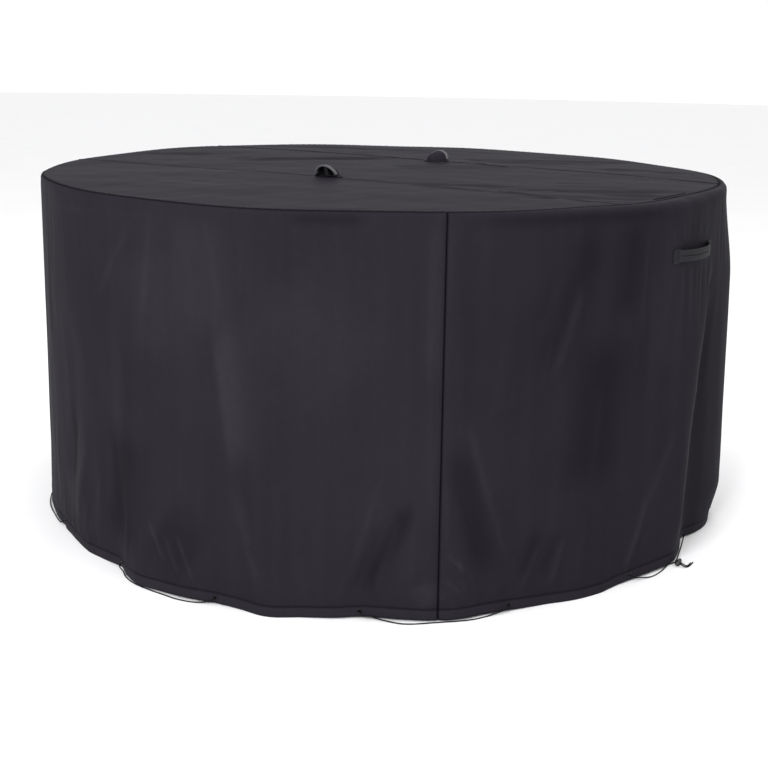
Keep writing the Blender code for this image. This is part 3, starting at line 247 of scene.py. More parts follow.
# broad swells and hollows
SKIRT_SWELLS = [SkirtCrease(*row) for row in (
    (-42.0, 0.640, -38.0, 0.180, 0.070, 0.0060), (-56.0, 0.560, -55.0, 0.160, 0.050, -0.0040),
    (-25.0, 0.780, -20.0, 0.420, 0.050, 0.0040), (-13.5, 0.860, -13.0, 0.560, 0.040, -0.0024),
    (-1.5, 0.760, -2.5, 0.300, 0.055, 0.0040), (40.5, 0.840, 41.5, 0.340, 0.045, -0.0050),
    (30.0, 0.780, 26.5, 0.300, 0.045, 0.0045), (20.0, 0.700, 19.5, 0.380, 0.050, -0.0030),
    (34.0, 0.320, 33.0, 0.080, 0.035, -0.0035), (15.0, 0.300, 16.0, 0.090, 0.028, 0.0035),
)]
# painted light on the skirt's cloth, for the light and shade that fall on its folds: above 0 a painted
# highlight, below 0 painted shade; the same rows, with a shade in place of the lift
SKIRT_PAINTED_LIGHT = [SkirtCrease(*row) for row in (
    (-41.0, 0.360, -42.5, 0.080, 0.075, -0.55), (-57.0, 0.380, -58.0, 0.160, 0.020, -0.30),
    (-33.1, 0.160, -27.0, 0.100, 0.090, -0.30), (4.4, 0.270, -1.8, 0.070, 0.022, -0.55),
    (10.9, 0.390, 15.6, 0.110, 0.034, -0.46), (23.0, 0.560, 30.4, 0.850, 0.044, -0.40),
    (33.6, 0.600, 32.0, 0.280, 0.085, -0.44), (37.8, 0.860, 37.4, 0.660, 0.040, -0.36),
    (-12.2, 0.882, -2.6, 0.882, 0.014, -0.35), (13.9, 0.880, 43.5, 0.880, 0.014, -0.35),
    (23.5, 0.180, 20.9, 0.080, 0.020, -0.30), (26.5, 0.170, 24.8, 0.080, 0.016, -0.30),
    (-21.6, 0.640, -19.6, 0.360, 0.032, 0.60), (-35.7, 0.780, -33.9, 0.560, 0.080, 0.35),
    (-27.0, 0.860, -25.2, 0.640, 0.060, 0.35), (-13.9, 0.740, -2.6, 0.560, 0.120, 0.30),
    (7.0, 0.880, 6.6, 0.560, 0.022, 0.40), (6.1, 0.090, 7.5, 0.040, 0.030, 0.50),
    (47.0, 0.860, 46.1, 0.520, 0.050, 0.32),
)]
SKIRT_CREASES = [SkirtCrease(*row) for row in (
    # the fan that spreads from the rim, left of the middle
    (-37.5, 0.850, -45.5, 0.680, 0.011, 0.0016), (-36.6, 0.840, -36.2, 0.720, 0.008, -0.0014),
    (-34.0, 0.870, -35.6, 0.640, 0.013, 0.0020), (-32.0, 0.860, -32.8, 0.730, 0.008, -0.0012),
    (-29.5, 0.850, -30.5, 0.620, 0.012, 0.0010), (-27.6, 0.800, -24.6, 0.590, 0.009, -0.0020),
    (-24.9, 0.620, -22.4, 0.360, 0.010, -0.0014), (-25.0, 0.870, -22.3, 0.680, 0.009, 0.0014),
    (-22.9, 0.600, -20.4, 0.330, 0.016, 0.0018), (-20.4, 0.880, -21.2, 0.720, 0.007, -0.0015),
    (-19.0, 0.870, -19.6, 0.700, 0.007, 0.0012), (-17.8, 0.850, -18.0, 0.700, 0.006, -0.0010),
    (-15.4, 0.880, -15.0, 0.740, 0.007, -0.0014), (-13.6, 0.860, -13.8, 0.700, 0.009, 0.0008),
    (-60.0, 0.850, -34.0, 0.868, 0.006, 0.0010), (-56.0, 0.832, -40.0, 0.846, 0.005, -0.0009),
    (-53.0, 0.862, -46.0, 0.838, 0.005, 0.0009), (-44.0, 0.858, -38.5, 0.828, 0.005, -0.0009),
    (-66.5, 0.780, -67.5, 0.480, 0.016, 0.0016), (-63.0, 0.840, -63.5, 0.660, 0.010, -0.0012),
    # above the hem, from the left
    (-66.0, 0.280, -67.5, 0.060, 0.012, 0.0018), (-55.8, 0.330, -57.8, 0.180, 0.010, -0.0020),
    (-52.0, 0.300, -57.2, 0.065, 0.012, 0.0028), (-50.4, 0.180, -53.6, 0.050, 0.008, -0.0016),
    (-48.6, 0.220, -50.6, 0.060, 0.009, 0.0016), (-45.0, 0.330, -46.0, 0.160, 0.016, 0.0014),
    (-43.4, 0.330, -43.0, 0.130, 0.012, -0.0022), (-39.8, 0.170, -41.2, 0.030, 0.006, 0.0024),
    (-38.4, 0.130, -40.6, 0.040, 0.005, -0.0016), (-34.6, 0.170, -31.6, 0.080, 0.007, 0.0028),
    (-33.4, 0.150, -30.6, 0.050, 0.005, -0.0016), (-31.6, 0.140, -29.4, 0.060, 0.005, 0.0020),
    (-29.6, 0.150, -27.0, 0.050, 0.006, 0.0026), (-28.2, 0.110, -25.6, 0.040, 0.005, -0.0014),
    (-20.6, 0.280, -16.6, 0.060, 0.016, 0.0020), (-18.2, 0.160, -14.0, 0.070, 0.009, -0.0012),
    (-10.6, 0.150, -10.0, 0.040, 0.010, 0.0010),
    # either side of the front seam
    (0.2, 0.320, -3.6, 0.110, 0.009, 0.0018), (1.6, 0.250, -3.2, 0.060, 0.009, -0.0032),
    (2.8, 0.230, -0.4, 0.070, 0.010, 0.0016), (-4.4, 0.100, -6.0, 0.030, 0.007, 0.0014),
    (5.6, 0.300, 4.4, 0.090, 0.014, 0.0014), (6.9, 0.780, 6.6, 0.520, 0.005, 0.0008),
    (5.9, 0.700, 6.3, 0.420, 0.005, -0.0008), (7.2, 0.420, 7.3, 0.180, 0.006, 0.0008),
    (10.7, 0.470, 11.2, 0.290, 0.010, -0.0026), (11.2, 0.300, 14.6, 0.150, 0.010, -0.0022),
    (12.4, 0.440, 15.4, 0.270, 0.012, 0.0022), (15.4, 0.280, 18.4, 0.130, 0.010, 0.0014),
    (9.2, 0.320, 9.6, 0.160, 0.007, 0.0012), (9.6, 0.155, 12.0, 0.120, 0.006, 0.0024),
    (9.4, 0.118, 12.6, 0.094, 0.005, -0.0020), (9.4, 0.096, 11.6, 0.066, 0.006, 0.0022),
    (11.2, 0.140, 12.2, 0.070, 0.005, 0.0016),
    # the right of the front
    (25.6, 0.800, 20.6, 0.570, 0.012, -0.0018), (28.4, 0.730, 24.6, 0.540, 0.013, 0.0022),
    (24.0, 0.640, 23.0, 0.520, 0.007, 0.0010), (17.2, 0.640, 15.6, 0.430, 0.014, 0.0010),
    (33.0, 0.500, 32.0, 0.280, 0.012, 0.0012), (35.2, 0.860, 35.8, 0.560, 0.012, -0.0010),
    (41.2, 0.850, 41.0, 0.600, 0.007, 0.0020), (43.0, 0.760, 43.6, 0.420, 0.012, 0.0014),
    (39.6, 0.740, 39.8, 0.400, 0.009, -0.0010), (38.0, 0.440, 38.6, 0.240, 0.009, 0.0012),
    (23.8, 0.150, 21.6, 0.060, 0.007, 0.0020), (25.2, 0.110, 23.6, 0.040, 0.005, -0.0012),
    (28.0, 0.160, 26.2, 0.050, 0.007, 0.0022), (31.5, 0.200, 30.5, 0.080, 0.010, 0.0010),
    (44.2, 0.200, 40.8, 0.040, 0.008, 0.0034), (45.4, 0.180, 42.4, 0.050, 0.007, -0.0020),
    (50.2, 0.350, 44.6, 0.190, 0.012, 0.0022), (48.4, 0.420, 46.8, 0.300, 0.012, -0.0014),
    # round the right-hand handle and down from it
    (46.2, 0.842, 47.6, 0.806, 0.005, 0.0018), (49.4, 0.850, 49.8, 0.812, 0.005, 0.0016),
    (52.4, 0.850, 52.4, 0.814, 0.005, -0.0014), (55.6, 0.846, 55.0, 0.812, 0.005, 0.0016),
    (59.2, 0.842, 57.8, 0.808, 0.005, 0.0014), (47.9, 0.742, 47.6, 0.560, 0.008, -0.0020),
    (49.8, 0.744, 50.0, 0.640, 0.006, 0.0014), (51.2, 0.744, 51.6, 0.560, 0.007, -0.0014),
    (52.6, 0.746, 53.2, 0.600, 0.006, 0.0016), (54.2, 0.744, 54.6, 0.660, 0.004, -0.0014),
    (55.4, 0.748, 55.6, 0.690, 0.004, 0.0016), (56.8, 0.748, 57.0, 0.640, 0.004, 0.0014),
    (58.2, 0.740, 57.6, 0.600, 0.005, -0.0012), (62.2, 0.740, 60.0, 0.590, 0.007, 0.0026),
    (60.0, 0.600, 57.4, 0.430, 0.007, 0.0030), (57.4, 0.450, 55.6, 0.250, 0.007, 0.0034),
    (55.6, 0.270, 54.9, 0.040, 0.007, 0.0038), (64.6, 0.700, 61.4, 0.480, 0.010, -0.0030),
    (61.2, 0.480, 58.8, 0.250, 0.010, -0.0034), (58.6, 0.250, 57.6, 0.060, 0.009, -0.0034),
    (66.8, 0.880, 67.6, 0.720, 0.009, -0.0018), (69.6, 0.860, 71.0, 0.700, 0.010, 0.0014),
    (68.0, 0.640, 66.0, 0.360, 0.014, 0.0014),
    # the sides and the back
    (84.0, 0.820, 82.0, 0.520, 0.012, 0.0016), (90.0, 0.860, 92.5, 0.600, 0.010, -0.0014),
    (88.0, 0.260, 84.0, 0.060, 0.012, 0.0022), (102.0, 0.870, 101.0, 0.640, 0.009, 0.0014),
    (112.0, 0.300, 114.0, 0.060, 0.011, 0.0020), (122.0, 0.860, 125.0, 0.620, 0.010, -0.0016),
    (128.0, 0.280, 130.5, 0.050, 0.012, 0.0024), (138.0, 0.860, 139.5, 0.640, 0.009, 0.0014),
    (150.0, 0.700, 148.0, 0.400, 0.012, 0.0016), (157.0, 0.240, 160.0, 0.050, 0.010, -0.0020),
    (165.0, 0.860, 167.5, 0.660, 0.009, 0.0014), (181.5, 0.260, 178.0, 0.060, 0.011, 0.0024),
    (186.0, 0.840, 184.0, 0.560, 0.010, -0.0014), (203.0, 0.860, 202.0, 0.640, 0.010, 0.0016),
    (207.0, 0.280, 203.5, 0.060, 0.011, 0.0022), (226.0, 0.746, 225.4, 0.580, 0.007, -0.0014),
    (231.0, 0.746, 231.6, 0.600, 0.006, 0.0014), (237.4, 0.746, 237.8, 0.620, 0.006, -0.0012),
    (241.8, 0.742, 242.8, 0.560, 0.008, 0.0014), (228.4, 0.848, 229.0, 0.812, 0.005, 0.0014),
    (239.0, 0.846, 238.2, 0.810, 0.005, 0.0014), (228.0, 0.260, 226.0, 0.060, 0.010, 0.0022),
    (249.0, 0.860, 251.0, 0.640, 0.009, -0.0014), (254.0, 0.300, 250.5, 0.060, 0.012, 0.0022),
    (268.0, 0.860, 266.0, 0.620, 0.010, 0.0014), (272.0, 0.240, 274.5, 0.060, 0.010, -0.0018),
)]

FINE_TOP_CREASES = [Crease(*row) for row in (
    (-0.45, 0.245, -0.38, 0.250, 0.012, -0.0012), (-0.47, -0.060, -0.36, -0.085, 0.012, -0.0014),
    (-0.48, -0.100, -0.36, -0.120, 0.012, 0.0012), (0.16, -0.350, 0.24, -0.335, 0.012, -0.0012),
    (0.42, -0.310, 0.54, -0.315, 0.012, -0.0016), (0.40, -0.340, 0.56, -0.345, 0.012, 0.0012),
    (0.26, -0.500, 0.40, -0.515, 0.012, 0.0020), (0.30, -0.560, 0.52, -0.545, 0.011, 0.0018),
    (0.34, -0.590, 0.50, -0.575, 0.010, -0.0016), (0.36, -0.640, 0.56, -0.590, 0.010, 0.0016),
    (0.42, -0.670, 0.58, -0.640, 0.010, -0.0016), (0.52, -0.610, 0.62, -0.560, 0.010, -0.0012),
    (0.22, 0.180, 0.42, 0.205, 0.014, 0.0018), (0.24, 0.345, 0.38, 0.350, 0.012, -0.0016),
    (0.42, 0.400, 0.62, 0.440, 0.012, 0.0014), (0.56, 0.110, 0.72, 0.125, 0.013, -0.0018),
    (0.62, 0.060, 0.74, 0.060, 0.013, 0.0018), (0.74, 0.000, 0.86, 0.020, 0.014, -0.0018),
    (0.64, -0.090, 0.74, -0.130, 0.013, 0.0014), (0.50, 0.150, 0.58, 0.140, 0.012, 0.0014),
    (-0.20, 0.560, -0.12, 0.540, 0.014, -0.0014), (-0.10, 0.500, 0.00, 0.450, 0.014, -0.0012),
    (-0.66, 0.200, -0.60, 0.160, 0.016, -0.0014), (-0.30, 0.620, -0.22, 0.640, 0.014, 0.0012),
    (0.10, 0.660, 0.42, 0.600, 0.016, -0.0014), (-0.55, -0.380, -0.38, -0.480, 0.016, 0.0010),
    (-0.62, 0.560, -0.44, 0.620, 0.014, -0.0014),
)]


# ---- the cloth's shape, worked out for whole arrays of places


def smooth_step(x):
    x = np.clip(x, 0.0, 1.0)
    return x * x * (3 - 2 * x)


def bell(x, width):
    """1 in the middle, and 0.37 this far from it."""
    return np.exp(-((x / width) ** 2))


def difference(angle, other):
    return (angle - other + 180.0) % 360.0 - 180.0


def outward(angle):
    angle = np.radians(np.asarray(angle, float))
    return np.stack([np.sin(angle), -np.cos(angle), np.zeros_like(angle)], axis=-1)


class Around:
    """A smooth curve round the cover, through a table's values of one column."""

    def __init__(self, table, column):
        angles = np.array([row.angle for row in table])
        values = np.array([getattr(row, column) for row in table])
        self.angles = np.concatenate([angles[-2:] - 360.0, angles, angles[:2] + 360.0])
        self.values = np.concatenate([values[-2:], values, values[:2]])

    def __call__(self, angle):
        start = self.angles[2]
        angle = start + (np.asarray(angle, float) - start) % 360.0
        k = np.searchsorted(self.angles, angle + 1e-9, side="right") - 1
        k = np.clip(k, 1, len(self.angles) - 3)
        a0, a1, a2, a3 = (self.angles[k + step] for step in (-1, 0, 1, 2))
        v0, v1, v2, v3 = (self.values[k + step] for step in (-1, 0, 1, 2))
        span = a2 - a1
        t = (angle - a1) / span
        slope1 = (v2 - v0) / (a2 - a0) * span
        slope2 = (v3 - v1) / (a3 - a1) * span
        rise1, rise2 = 2 * t**3 - 3 * t**2 + 1, 3 * t**2 - 2 * t**3
        return v1 * rise1 + slope1 * (t**3 - 2 * t**2 + t) + v2 * rise2 + slope2 * (t**3 - t**2)


hem_radius = Around(HEM, "radius")
hem_rise = Around(HEM, "rise")
rim_seam_in = Around(RIM_SHAPE, "seam_in")
rim_bend = Around(RIM_SHAPE, "bend")


def fold_relief(fold, angle, height):
    part = (fold.top_height - height) / (fold.top_height - fold.foot_height)
    middle = fold.top_angle + (fold.foot_angle - fold.top_angle) * part + 4 * fold.bow * part * (1 - part)
    off = difference(angle, middle)
    width = np.where(off < 0, fold.left, fold.right)
    top = smooth_step((fold.top_height - height) / (2 * FOLD_FADE))
    foot = smooth_step((height - fold.foot_height) / FOLD_FADE)
    return np.where((part < 0) | (part > 1), 0.0, fold.out * top * foot * bell(off, width))


RELIEF_START = 0.06  # metres below the rim over which the folds begin


def skirt_relief(angle, height):
    """How far the skirt's main folds stand out from a plain cylinder."""
    swell = np.maximum(0.0, 1 - height / DROP) ** HEM_SWELL_FADE
    out = (hem_radius(angle) - TOP_RADIUS) * swell
    for fold in FOLDS:
        out = out + fold_relief(fold, angle, height)
    for seam in SKIRT_SEAMS:
        out = out - SEAM_DRAW_IN * bell(difference(angle, seam), SEAM_DRAW_WIDTH)
    return out * smooth_step((DROP - height) / RELIEF_START)


CREASE_OVER, CREASE_END = 0.15, 0.35  # how far a crease goes past its ends, and fades, in its own lengths


def crease_relief(crease, x, y):
    ax, ay = crease.x1 - crease.x0, crease.y1 - crease.y0
    length = np.hypot(ax, ay)
    bx, by = x - crease.x0, y - crease.y0
    part = (bx * ax + by * ay) / length**2
    off = np.abs(bx * ay - by * ax) / length
    ends = smooth_step((part + CREASE_OVER) / CREASE_END) * smooth_step((1 + CREASE_OVER - part) / CREASE_END)
    return crease.lift * ends * bell(off, crease.half_width)


def rim_height(angle):
    a = np.radians(angle)
    lift = RIM_LIFT * bell(difference(angle, RIM_LIFT_ANGLE), RIM_LIFT_WIDTH)
    return RIM + lift + 0.0012 * np.sin(5 * a + 0.6) + 0.0009 * np.sin(11 * a + 2.0)


def top_height(x, y):
    radius = np.hypot(x, y)
    angle = np.degrees(np.arctan2(x, -y))
    inside = TOP_RADIUS - radius
    bend = rim_bend(angle)
    fall = np.maximum(0.0, 1 - np.sqrt(np.maximum(0.0, inside) / bend))
    height = RIM + (rim_height(angle) - RIM) * smooth_step(radius / TOP_RADIUS) - bend * fall * fall
    height = height + CROWN * (1 - (radius / TOP_RADIUS) ** 2)
    creases = sum(crease_relief(crease, x, y) for crease in TOP_CREASES)
    return height + creases * smooth_step(inside / TOP_FADE)


RIM_SETTLE = 0.3  # metres down the skirt over which the rim's own rise and fall die out


def cover_point(angle, run):
    """The outer face of the cloth, with its main folds only."""
    angle, run = np.broadcast_arrays(np.asarray(angle, float), np.asarray(run, float))
    bend = rim_bend(angle)
    fall = np.clip((run + bend) / (2 * bend), 0.0, 1.0)
    corner = bend * (1 - fall) ** 2
    radius = np.where(run <= -bend, TOP_RADIUS + run, TOP_RADIUS - corner)
    way = outward(angle)
    on_top = top_height(way[..., 0] * radius, way[..., 1] * radius)
    radius = np.where(run < 0, radius, radius + skirt_relief(angle, DROP - run))
    settle = smooth_step((run - bend) / RIM_SETTLE)
    level = rim_height(angle)
    below = np.where(run < bend, level - bend * fall * fall, level * (1 - settle) + RIM * settle - run)
    place = way * radius[..., None]
    place[..., 2] = np.where(run < 0, on_top, below)
    return place


def unit(vectors):
    return vectors / np.maximum(np.linalg.norm(vectors, axis=-1, keepdims=True), 1e-12)


def cover_normal(angle, run):
    turn, step = 0.25, 0.002
    across = cover_point(angle + turn, run) - cover_point(angle - turn, run)
    down = cover_point(angle, run + step) - cover_point(angle, run - step)
    return unit(np.cross(down, across))


# ---- the finer relief: creases, seams, puckers

ARC = radians(1.0) * TOP_RADIUS  # metres along the rim in one degree

# how near each fitting the cloth lies still, and over how much more its relief comes back
HANDLE_CALM_REACH = 0.010
EYELET_CALM, EYELET_CALM_REACH = 0.010, 0.012
RIM_CALM, RIM_CALM_REACH = 0.004, 0.030
VENT_CALM, VENT_CALM_REACH = 0.050, 0.030
VENT_SEAM, VENT_SEAM_REACH = 0.044, 0.006  # where the top's seams end at a vent


def away_from_fittings(angle, run):
    """1 where the cloth is free to crease, 0 under a handle and round an eyelet."""
    free = np.ones(np.broadcast(angle, run).shape)
    height = DROP - run
    for handle in HANDLE_ANGLES:
        along = np.abs(difference(angle, handle)) * ARC - HANDLE_LENGTH / 2
        over = np.abs(height - HANDLE_HEIGHT) - HANDLE_WIDTH / 2
        free = free * smooth_step(np.maximum(along, over) / HANDLE_CALM_REACH)
    for eyelet in EYELET_ANGLES:
        along = np.abs(difference(angle, eyelet)) * ARC
        away = np.hypot(along, height - EYELET_HEIGHT)
        free = free * smooth_step((away - EYELET_CALM) / EYELET_CALM_REACH)
    return free


def skirt_creases(angle, height, creases=SKIRT_CREASES):
    """The listed creases."""
    relief = np.zeros(np.broadcast(angle, height).shape)
    for crease in creases:
        middle = 0.5 * (crease.angle0 + crease.angle1)
        left, right = (crease.angle0 - middle) * ARC, (crease.angle1 - middle) * ARC
        flat = Crease(left, crease.height0, right, crease.height1, crease.half_width, crease.lift)
        relief = relief + crease_relief(flat, difference(angle, middle) * ARC, height)
    return relief


# waves of the free cloth: how many go round the cover, how many down the drop, their start and their size
Wave = namedtuple("Wave", "round down start size")
SKIRT_WAVES = [Wave(*row) for row in (
    (17, 0.6, 2.9, 0.00160), (37, 0.35, 0.3, 0.00050), (61, -0.6, 1.9, 0.00026), (97, 0.9, 4.1, 0.00012),
    (53, 2.3, 5.2, 0.00024), (149, 3.4, 0.8, 0.00006),
)]


def skirt_waves(angle, height):
    a, down = np.radians(angle), 2 * pi * height / DROP
    sway = 0.5 * np.sin(3 * a + 1.0) + 0.3 * np.sin(2.2 * down + 2 * a)
    return sum(w.size * np.sin(w.round * a + w.down * down + w.start + sway * w.down) for w in SKIRT_WAVES)


HEM_CRUMPLE, HEM_CRUMPLE_HEIGHT, HEM_CRUMPLE_REACH = 0.00085, 0.048, 0.028


def hem_crumple(angle, height):
    """Small wrinkles just above the hem, where the cord gathers it."""
    near = bell(height - HEM_CRUMPLE_HEIGHT, HEM_CRUMPLE_REACH)
    a = np.radians(angle)
    gathered = 0.55 + 0.45 * np.sin(7 * a + 1.1) * np.sin(4 * a + 0.4)
    sway = 2.2 * np.sin(23 * a + 40 * height) + 1.4 * np.sin(41 * a - 70 * height + 2.0)
    ripple = np.sin(127 * a + 60 * height + sway) + 0.8 * np.sin(181 * a - 95 * height + 1.3 - sway)
    ripple = ripple + 0.6 * np.sin(263 * a + 150 * height + 0.7 + 1.5 * sway)
    return HEM_CRUMPLE * near * gathered * ripple


SEAM_GROOVE, RIM_GROOVE = 0.0022, 0.0034
GROOVE_WIDTH, SEAM_REACH = 0.0024, 0.05
SEAM_ALLOWANCE, ALLOWANCE_LIFT = 0.011, 0.0008  # how wide it is, and how far it lifts the cloth
SEAM_PUCKER, PUCKER_PLACE, PUCKER_REACH = 0.00030, 0.005, 0.009  # how high, how far from a seam, how broad
HEM_PUCKER, HEM_GROOVE, HEM_GROOVE_WIDTH = 0.00042, 0.0011, 0.0036


def along_seam(distance, place, allowance_side, depth=SEAM_GROOVE):
    """A seam's groove, its pressed allowance on one side, and the puckers of its stitching."""
    groove = -depth * bell(distance, GROOVE_WIDTH)
    side = distance * allowance_side
    strip = ALLOWANCE_LIFT * (side > 0) * smooth_step((SEAM_ALLOWANCE + 0.0016 - side) / 0.0030)
    pucker = np.sin(place * 330 + 1.2 * np.sin(place * 41))
    pucker = pucker + 0.6 * np.sin(place * 517 + 2.0 * np.sin(place * 23))
    return groove + strip + SEAM_PUCKER * pucker * bell(np.abs(distance) - PUCKER_PLACE, PUCKER_REACH)


def skirt_fine(angle, run):
    height = DROP - run
    start = -rim_seam_in(angle) + GAP
    under_rim = smooth_step((run - start - RIM_CALM) / RIM_CALM_REACH)
    free = away_from_fittings(angle, run)
    swells = skirt_creases(angle, height, SKIRT_SWELLS)
    relief = (skirt_creases(angle, height) + swells + skirt_waves(angle, height)) * under_rim * free
    relief = relief + hem_crumple(angle, height) * free
    for seam in SKIRT_SEAMS:
        distance = difference(angle, seam) * ARC
        relief = relief + np.where(np.abs(distance) < SEAM_REACH, along_seam(distance, run, -1), 0.0)
    place = np.radians(angle) * TOP_RADIUS
    relief = relief + along_seam(run - start, place, 0, RIM_GROOVE)
    stitched = height - hem_rise(angle) - HEM_DEPTH
    pucker = np.sin(place * 260 + 1.5 * np.sin(place * 37)) * HEM_PUCKER * free
    return relief + (pucker - HEM_GROOVE) * bell(stitched, HEM_GROOVE_WIDTH)


def skirt_face(angle, run):
    """The outer face of the skirt, with everything that shows, and its plain normal."""
    normal = cover_normal(angle, run)
    return cover_point(angle, run) + normal * skirt_fine(angle, run)[..., None], normal


SEAM_WAY = outward(TOP_SEAM_FACING)
SEAM_RUN = np.array([-SEAM_WAY[1], SEAM_WAY[0], 0.0])

Rumple = namedtuple("Rumple", "x y start size")
TOP_RUMPLES = [Rumple(*row) for row in (
    (0.9, 6.3, 0.4, 0.00055), (-3.1, 9.7, 2.2, 0.00040), (6.7, 13.9, 4.0, 0.00028),
    (14.1, -8.3, 1.3, 0.00024), (-19.0, 21.0, 5.1, 0.00014), (31.0, 12.0, 3.3, 0.00010),
)]


def top_fine(x, y):
    radius = np.hypot(x, y)
    angle = np.degrees(np.arctan2(x, -y))
    inside = TOP_RADIUS - rim_seam_in(angle) - radius
    relief = sum(crease_relief(crease, x, y) for crease in FINE_TOP_CREASES)
    bent_x, bent_y = x + 0.03 * np.sin(5 * y + 1), y + 0.03 * np.sin(4 * x)
    relief = relief + sum(r.size * np.sin(pi * (r.x * bent_x + r.y * bent_y) + r.start) for r in TOP_RUMPLES)
    relief = relief * smooth_step(inside / RIM_CALM_REACH)
    across, along = x * SEAM_WAY[0] + y * SEAM_WAY[1], x * SEAM_RUN[0] + y * SEAM_RUN[1]
    for side, vent in zip((1, -1), VENTS):
        away = np.hypot(across - side * (TOP_SEAM_OFFSET - VENT_DEPTH / 2), along - side * vent.along)
        relief = relief * smooth_step((away - VENT_CALM) / VENT_CALM_REACH)
        seam = along_seam(across - side * TOP_SEAM_OFFSET, along, side)
        relief = relief + seam * smooth_step((away - VENT_SEAM) / VENT_SEAM_REACH)
    return relief + along_seam(inside, np.radians(angle) * TOP_RADIUS, 0, RIM_GROOVE)


SLOPE_STEP = 0.002


def top_slopes(x, y):
    """How steeply the top's main shape rises along X and along Y."""
    along_x = top_height(x + SLOPE_STEP, y) - top_height(x - SLOPE_STEP, y)
    along_y = top_height(x, y + SLOPE_STEP) - top_height(x, y - SLOPE_STEP)
    return along_x / (2 * SLOPE_STEP), along_y / (2 * SLOPE_STEP)


def top_face(x, y):
    slope_x, slope_y = top_slopes(x, y)
    normal = unit(np.stack([-slope_x, -slope_y, np.ones_like(slope_x)], axis=-1))
    place = np.stack([x, y, top_height(x, y)], axis=-1)
    return place + normal * top_fine(x, y)[..., None], normal


# ---- finishes


class Value:
    """A number that a shader works out: each operator adds its Math node."""

    def __init__(self, finish, socket):
        self.finish, self.socket = finish, socket

    def math(self, operation, *values):
        return self.finish.node("ShaderNodeMath", {"operation": operation}, dict(enumerate(values)), "Value")

    def sine(self):
        return self.math("SINE", self)

    def clamped(self):
        return self.finish.node("ShaderNodeClamp", {}, {"Value": self}, "Result")


for sign, kind in (("add", "ADD"), ("sub", "SUBTRACT"), ("mul", "MULTIPLY")):
    setattr(Value, f"__{sign}__", lambda self, other, kind=kind: self.math(kind, self, other))
    setattr(Value, f"__r{sign}__", lambda self, other, kind=kind: self.math(kind, other, self))


class Finish:
    """A material in the making."""

    def __init__(self, name):
        self.material = bpy.data.materials.new(name)
        self.material.use_nodes = True
        self.tree = self.material.node_tree
        self.tree.nodes.clear()

    def node(self, kind, settings, sockets, output):
        """Any node: its settings first, then the values or links of its sockets."""
        made = self.tree.nodes.new(kind)
        for key, setting in settings.items():
            if key == "stops":
                for stop, (place, colour) in zip(self.ramp_stops(made, len(setting)), setting):
                    stop.position, stop.color = place, (*colour, 1.0)
            else:
                setattr(made, key, setting)
        for key, value in sockets.items():
            if isinstance(value, Value):
                self.tree.links.new(value.socket, made.inputs[key])
            else:
                made.inputs[key].default_value = value
        return None if output is None else Value(self, made.outputs[output])

    @staticmethod
    def ramp_stops(made, count):
        while len(made.color_ramp.elements) < count:
            made.color_ramp.elements.new(1.0)
        return made.color_ramp.elements

    def place(self):
        return self.node("ShaderNodeTexCoord", {}, {}, "Object")

    def cloth_place(self):
        """Metres across and down the cloth, from the piece's own map."""
        return self.node("ShaderNodeUVMap", {"uv_map": "cloth_metres"}, {}, "UV")

    def parts(self, vector):
        return [self.node("ShaderNodeSeparateXYZ", {}, {"Vector": vector}, axis) for axis in "XYZ"]

    def noise(self, vector, scale, detail, roughness):
        sockets = {"Vector": vector, "Scale": scale, "Detail": detail, "Roughness": roughness}
        return self.node("ShaderNodeTexNoise", {}, sockets, "Fac")

    def stretched(self, vector, scale):
        return self.node("ShaderNodeMapping", {}, {"Vector": vector, "Scale": scale}, "Vector")

    def attribute(self, name):
        return self.node("ShaderNodeAttribute", {"attribute_name": name}, {}, "Fac")

    def ramp(self, value, *stops):
        return self.node("ShaderNodeValToRGB", {"stops": stops}, {"Fac": value}, "Color")

    def blend(self, share, first, second):
        sockets = {0: share, 6: first, 7: second}
        return self.node("ShaderNodeMix", {"data_type": "RGBA"}, sockets, 2)

    def bump(self, height, strength, distance, before=None):
        sockets = {"Height": height, "Strength": strength, "Distance": distance}
        if before is not None:
            sockets["Normal"] = before
        return self.node("ShaderNodeBump", {}, sockets, "Normal")

    def done(self, **sockets):
        """The shader itself: constants and links by socket name, with _ for a space."""
        named = {key.replace("_", " "): value for key, value in sockets.items()}
        shader = self.node("ShaderNodeBsdfPrincipled", {}, named, "BSDF")
        self.node("ShaderNodeOutputMaterial", {}, {"Surface": shader}, None)
        return self.material


def coated_cloth():
    """Coated woven polyester: a fine weave, a soft crinkle, paler where its creases rub, and with painted
    light: paler and darker over the skirt's folds, and painted shade in its seams' grooves.
    """
    cloth = Finish("coated_cloth")
    place, flat = cloth.place(), cloth.cloth_place()
    across, down, _ = cloth.parts(flat)
    thread = 2 * pi / 0.0012
    weave = (across * thread).sine() * (down * thread).sine()
    clouds = cloth.noise(place, 2.6, 4.0, 0.55)
    streaks = cloth.noise(cloth.stretched(flat, (26.0, 1.3, 1.0)), 1.0, 3.0, 0.5)
    crinkle = cloth.noise(place, 70.0, 5.0, 0.62)
    # worn crests, with painted light: painted highlight and shade over the skirt's folds, and painted shade
    # in the seams' grooves
    rubbed = cloth.attribute("rubbed")
    tone = (0.5 * clouds + 0.3 * streaks + 0.2 * crinkle).clamped()
    colour = cloth.ramp(tone, (0.30, CLOTH_DARK), (0.70, CLOTH_PALE))
    # paler where worn, and painted highlight over some of the skirt's folds
    colour = cloth.blend((rubbed * (0.35 + 0.5 * crinkle)).clamped(), colour, (*CLOTH_WORN_AND_LIT, 1.0))
    # painted shade, where the values fall below 0
    colour = cloth.blend((rubbed * -1.0).clamped(), colour, (*CLOTH_PAINTED_SHADE, 1.0))
    relief = cloth.bump(crinkle, 0.22, 0.0012)
    relief = cloth.bump(weave + 0.4 * crinkle, 0.10, 0.00012, relief)
    return cloth.done(
        Base_Color=colour,
        Roughness=(0.60 + 0.10 * (clouds - 0.5) - 0.08 * rubbed + 0.03 * weave).clamped(),
        Normal=relief,
        IOR=CLOTH_BEND,
    )


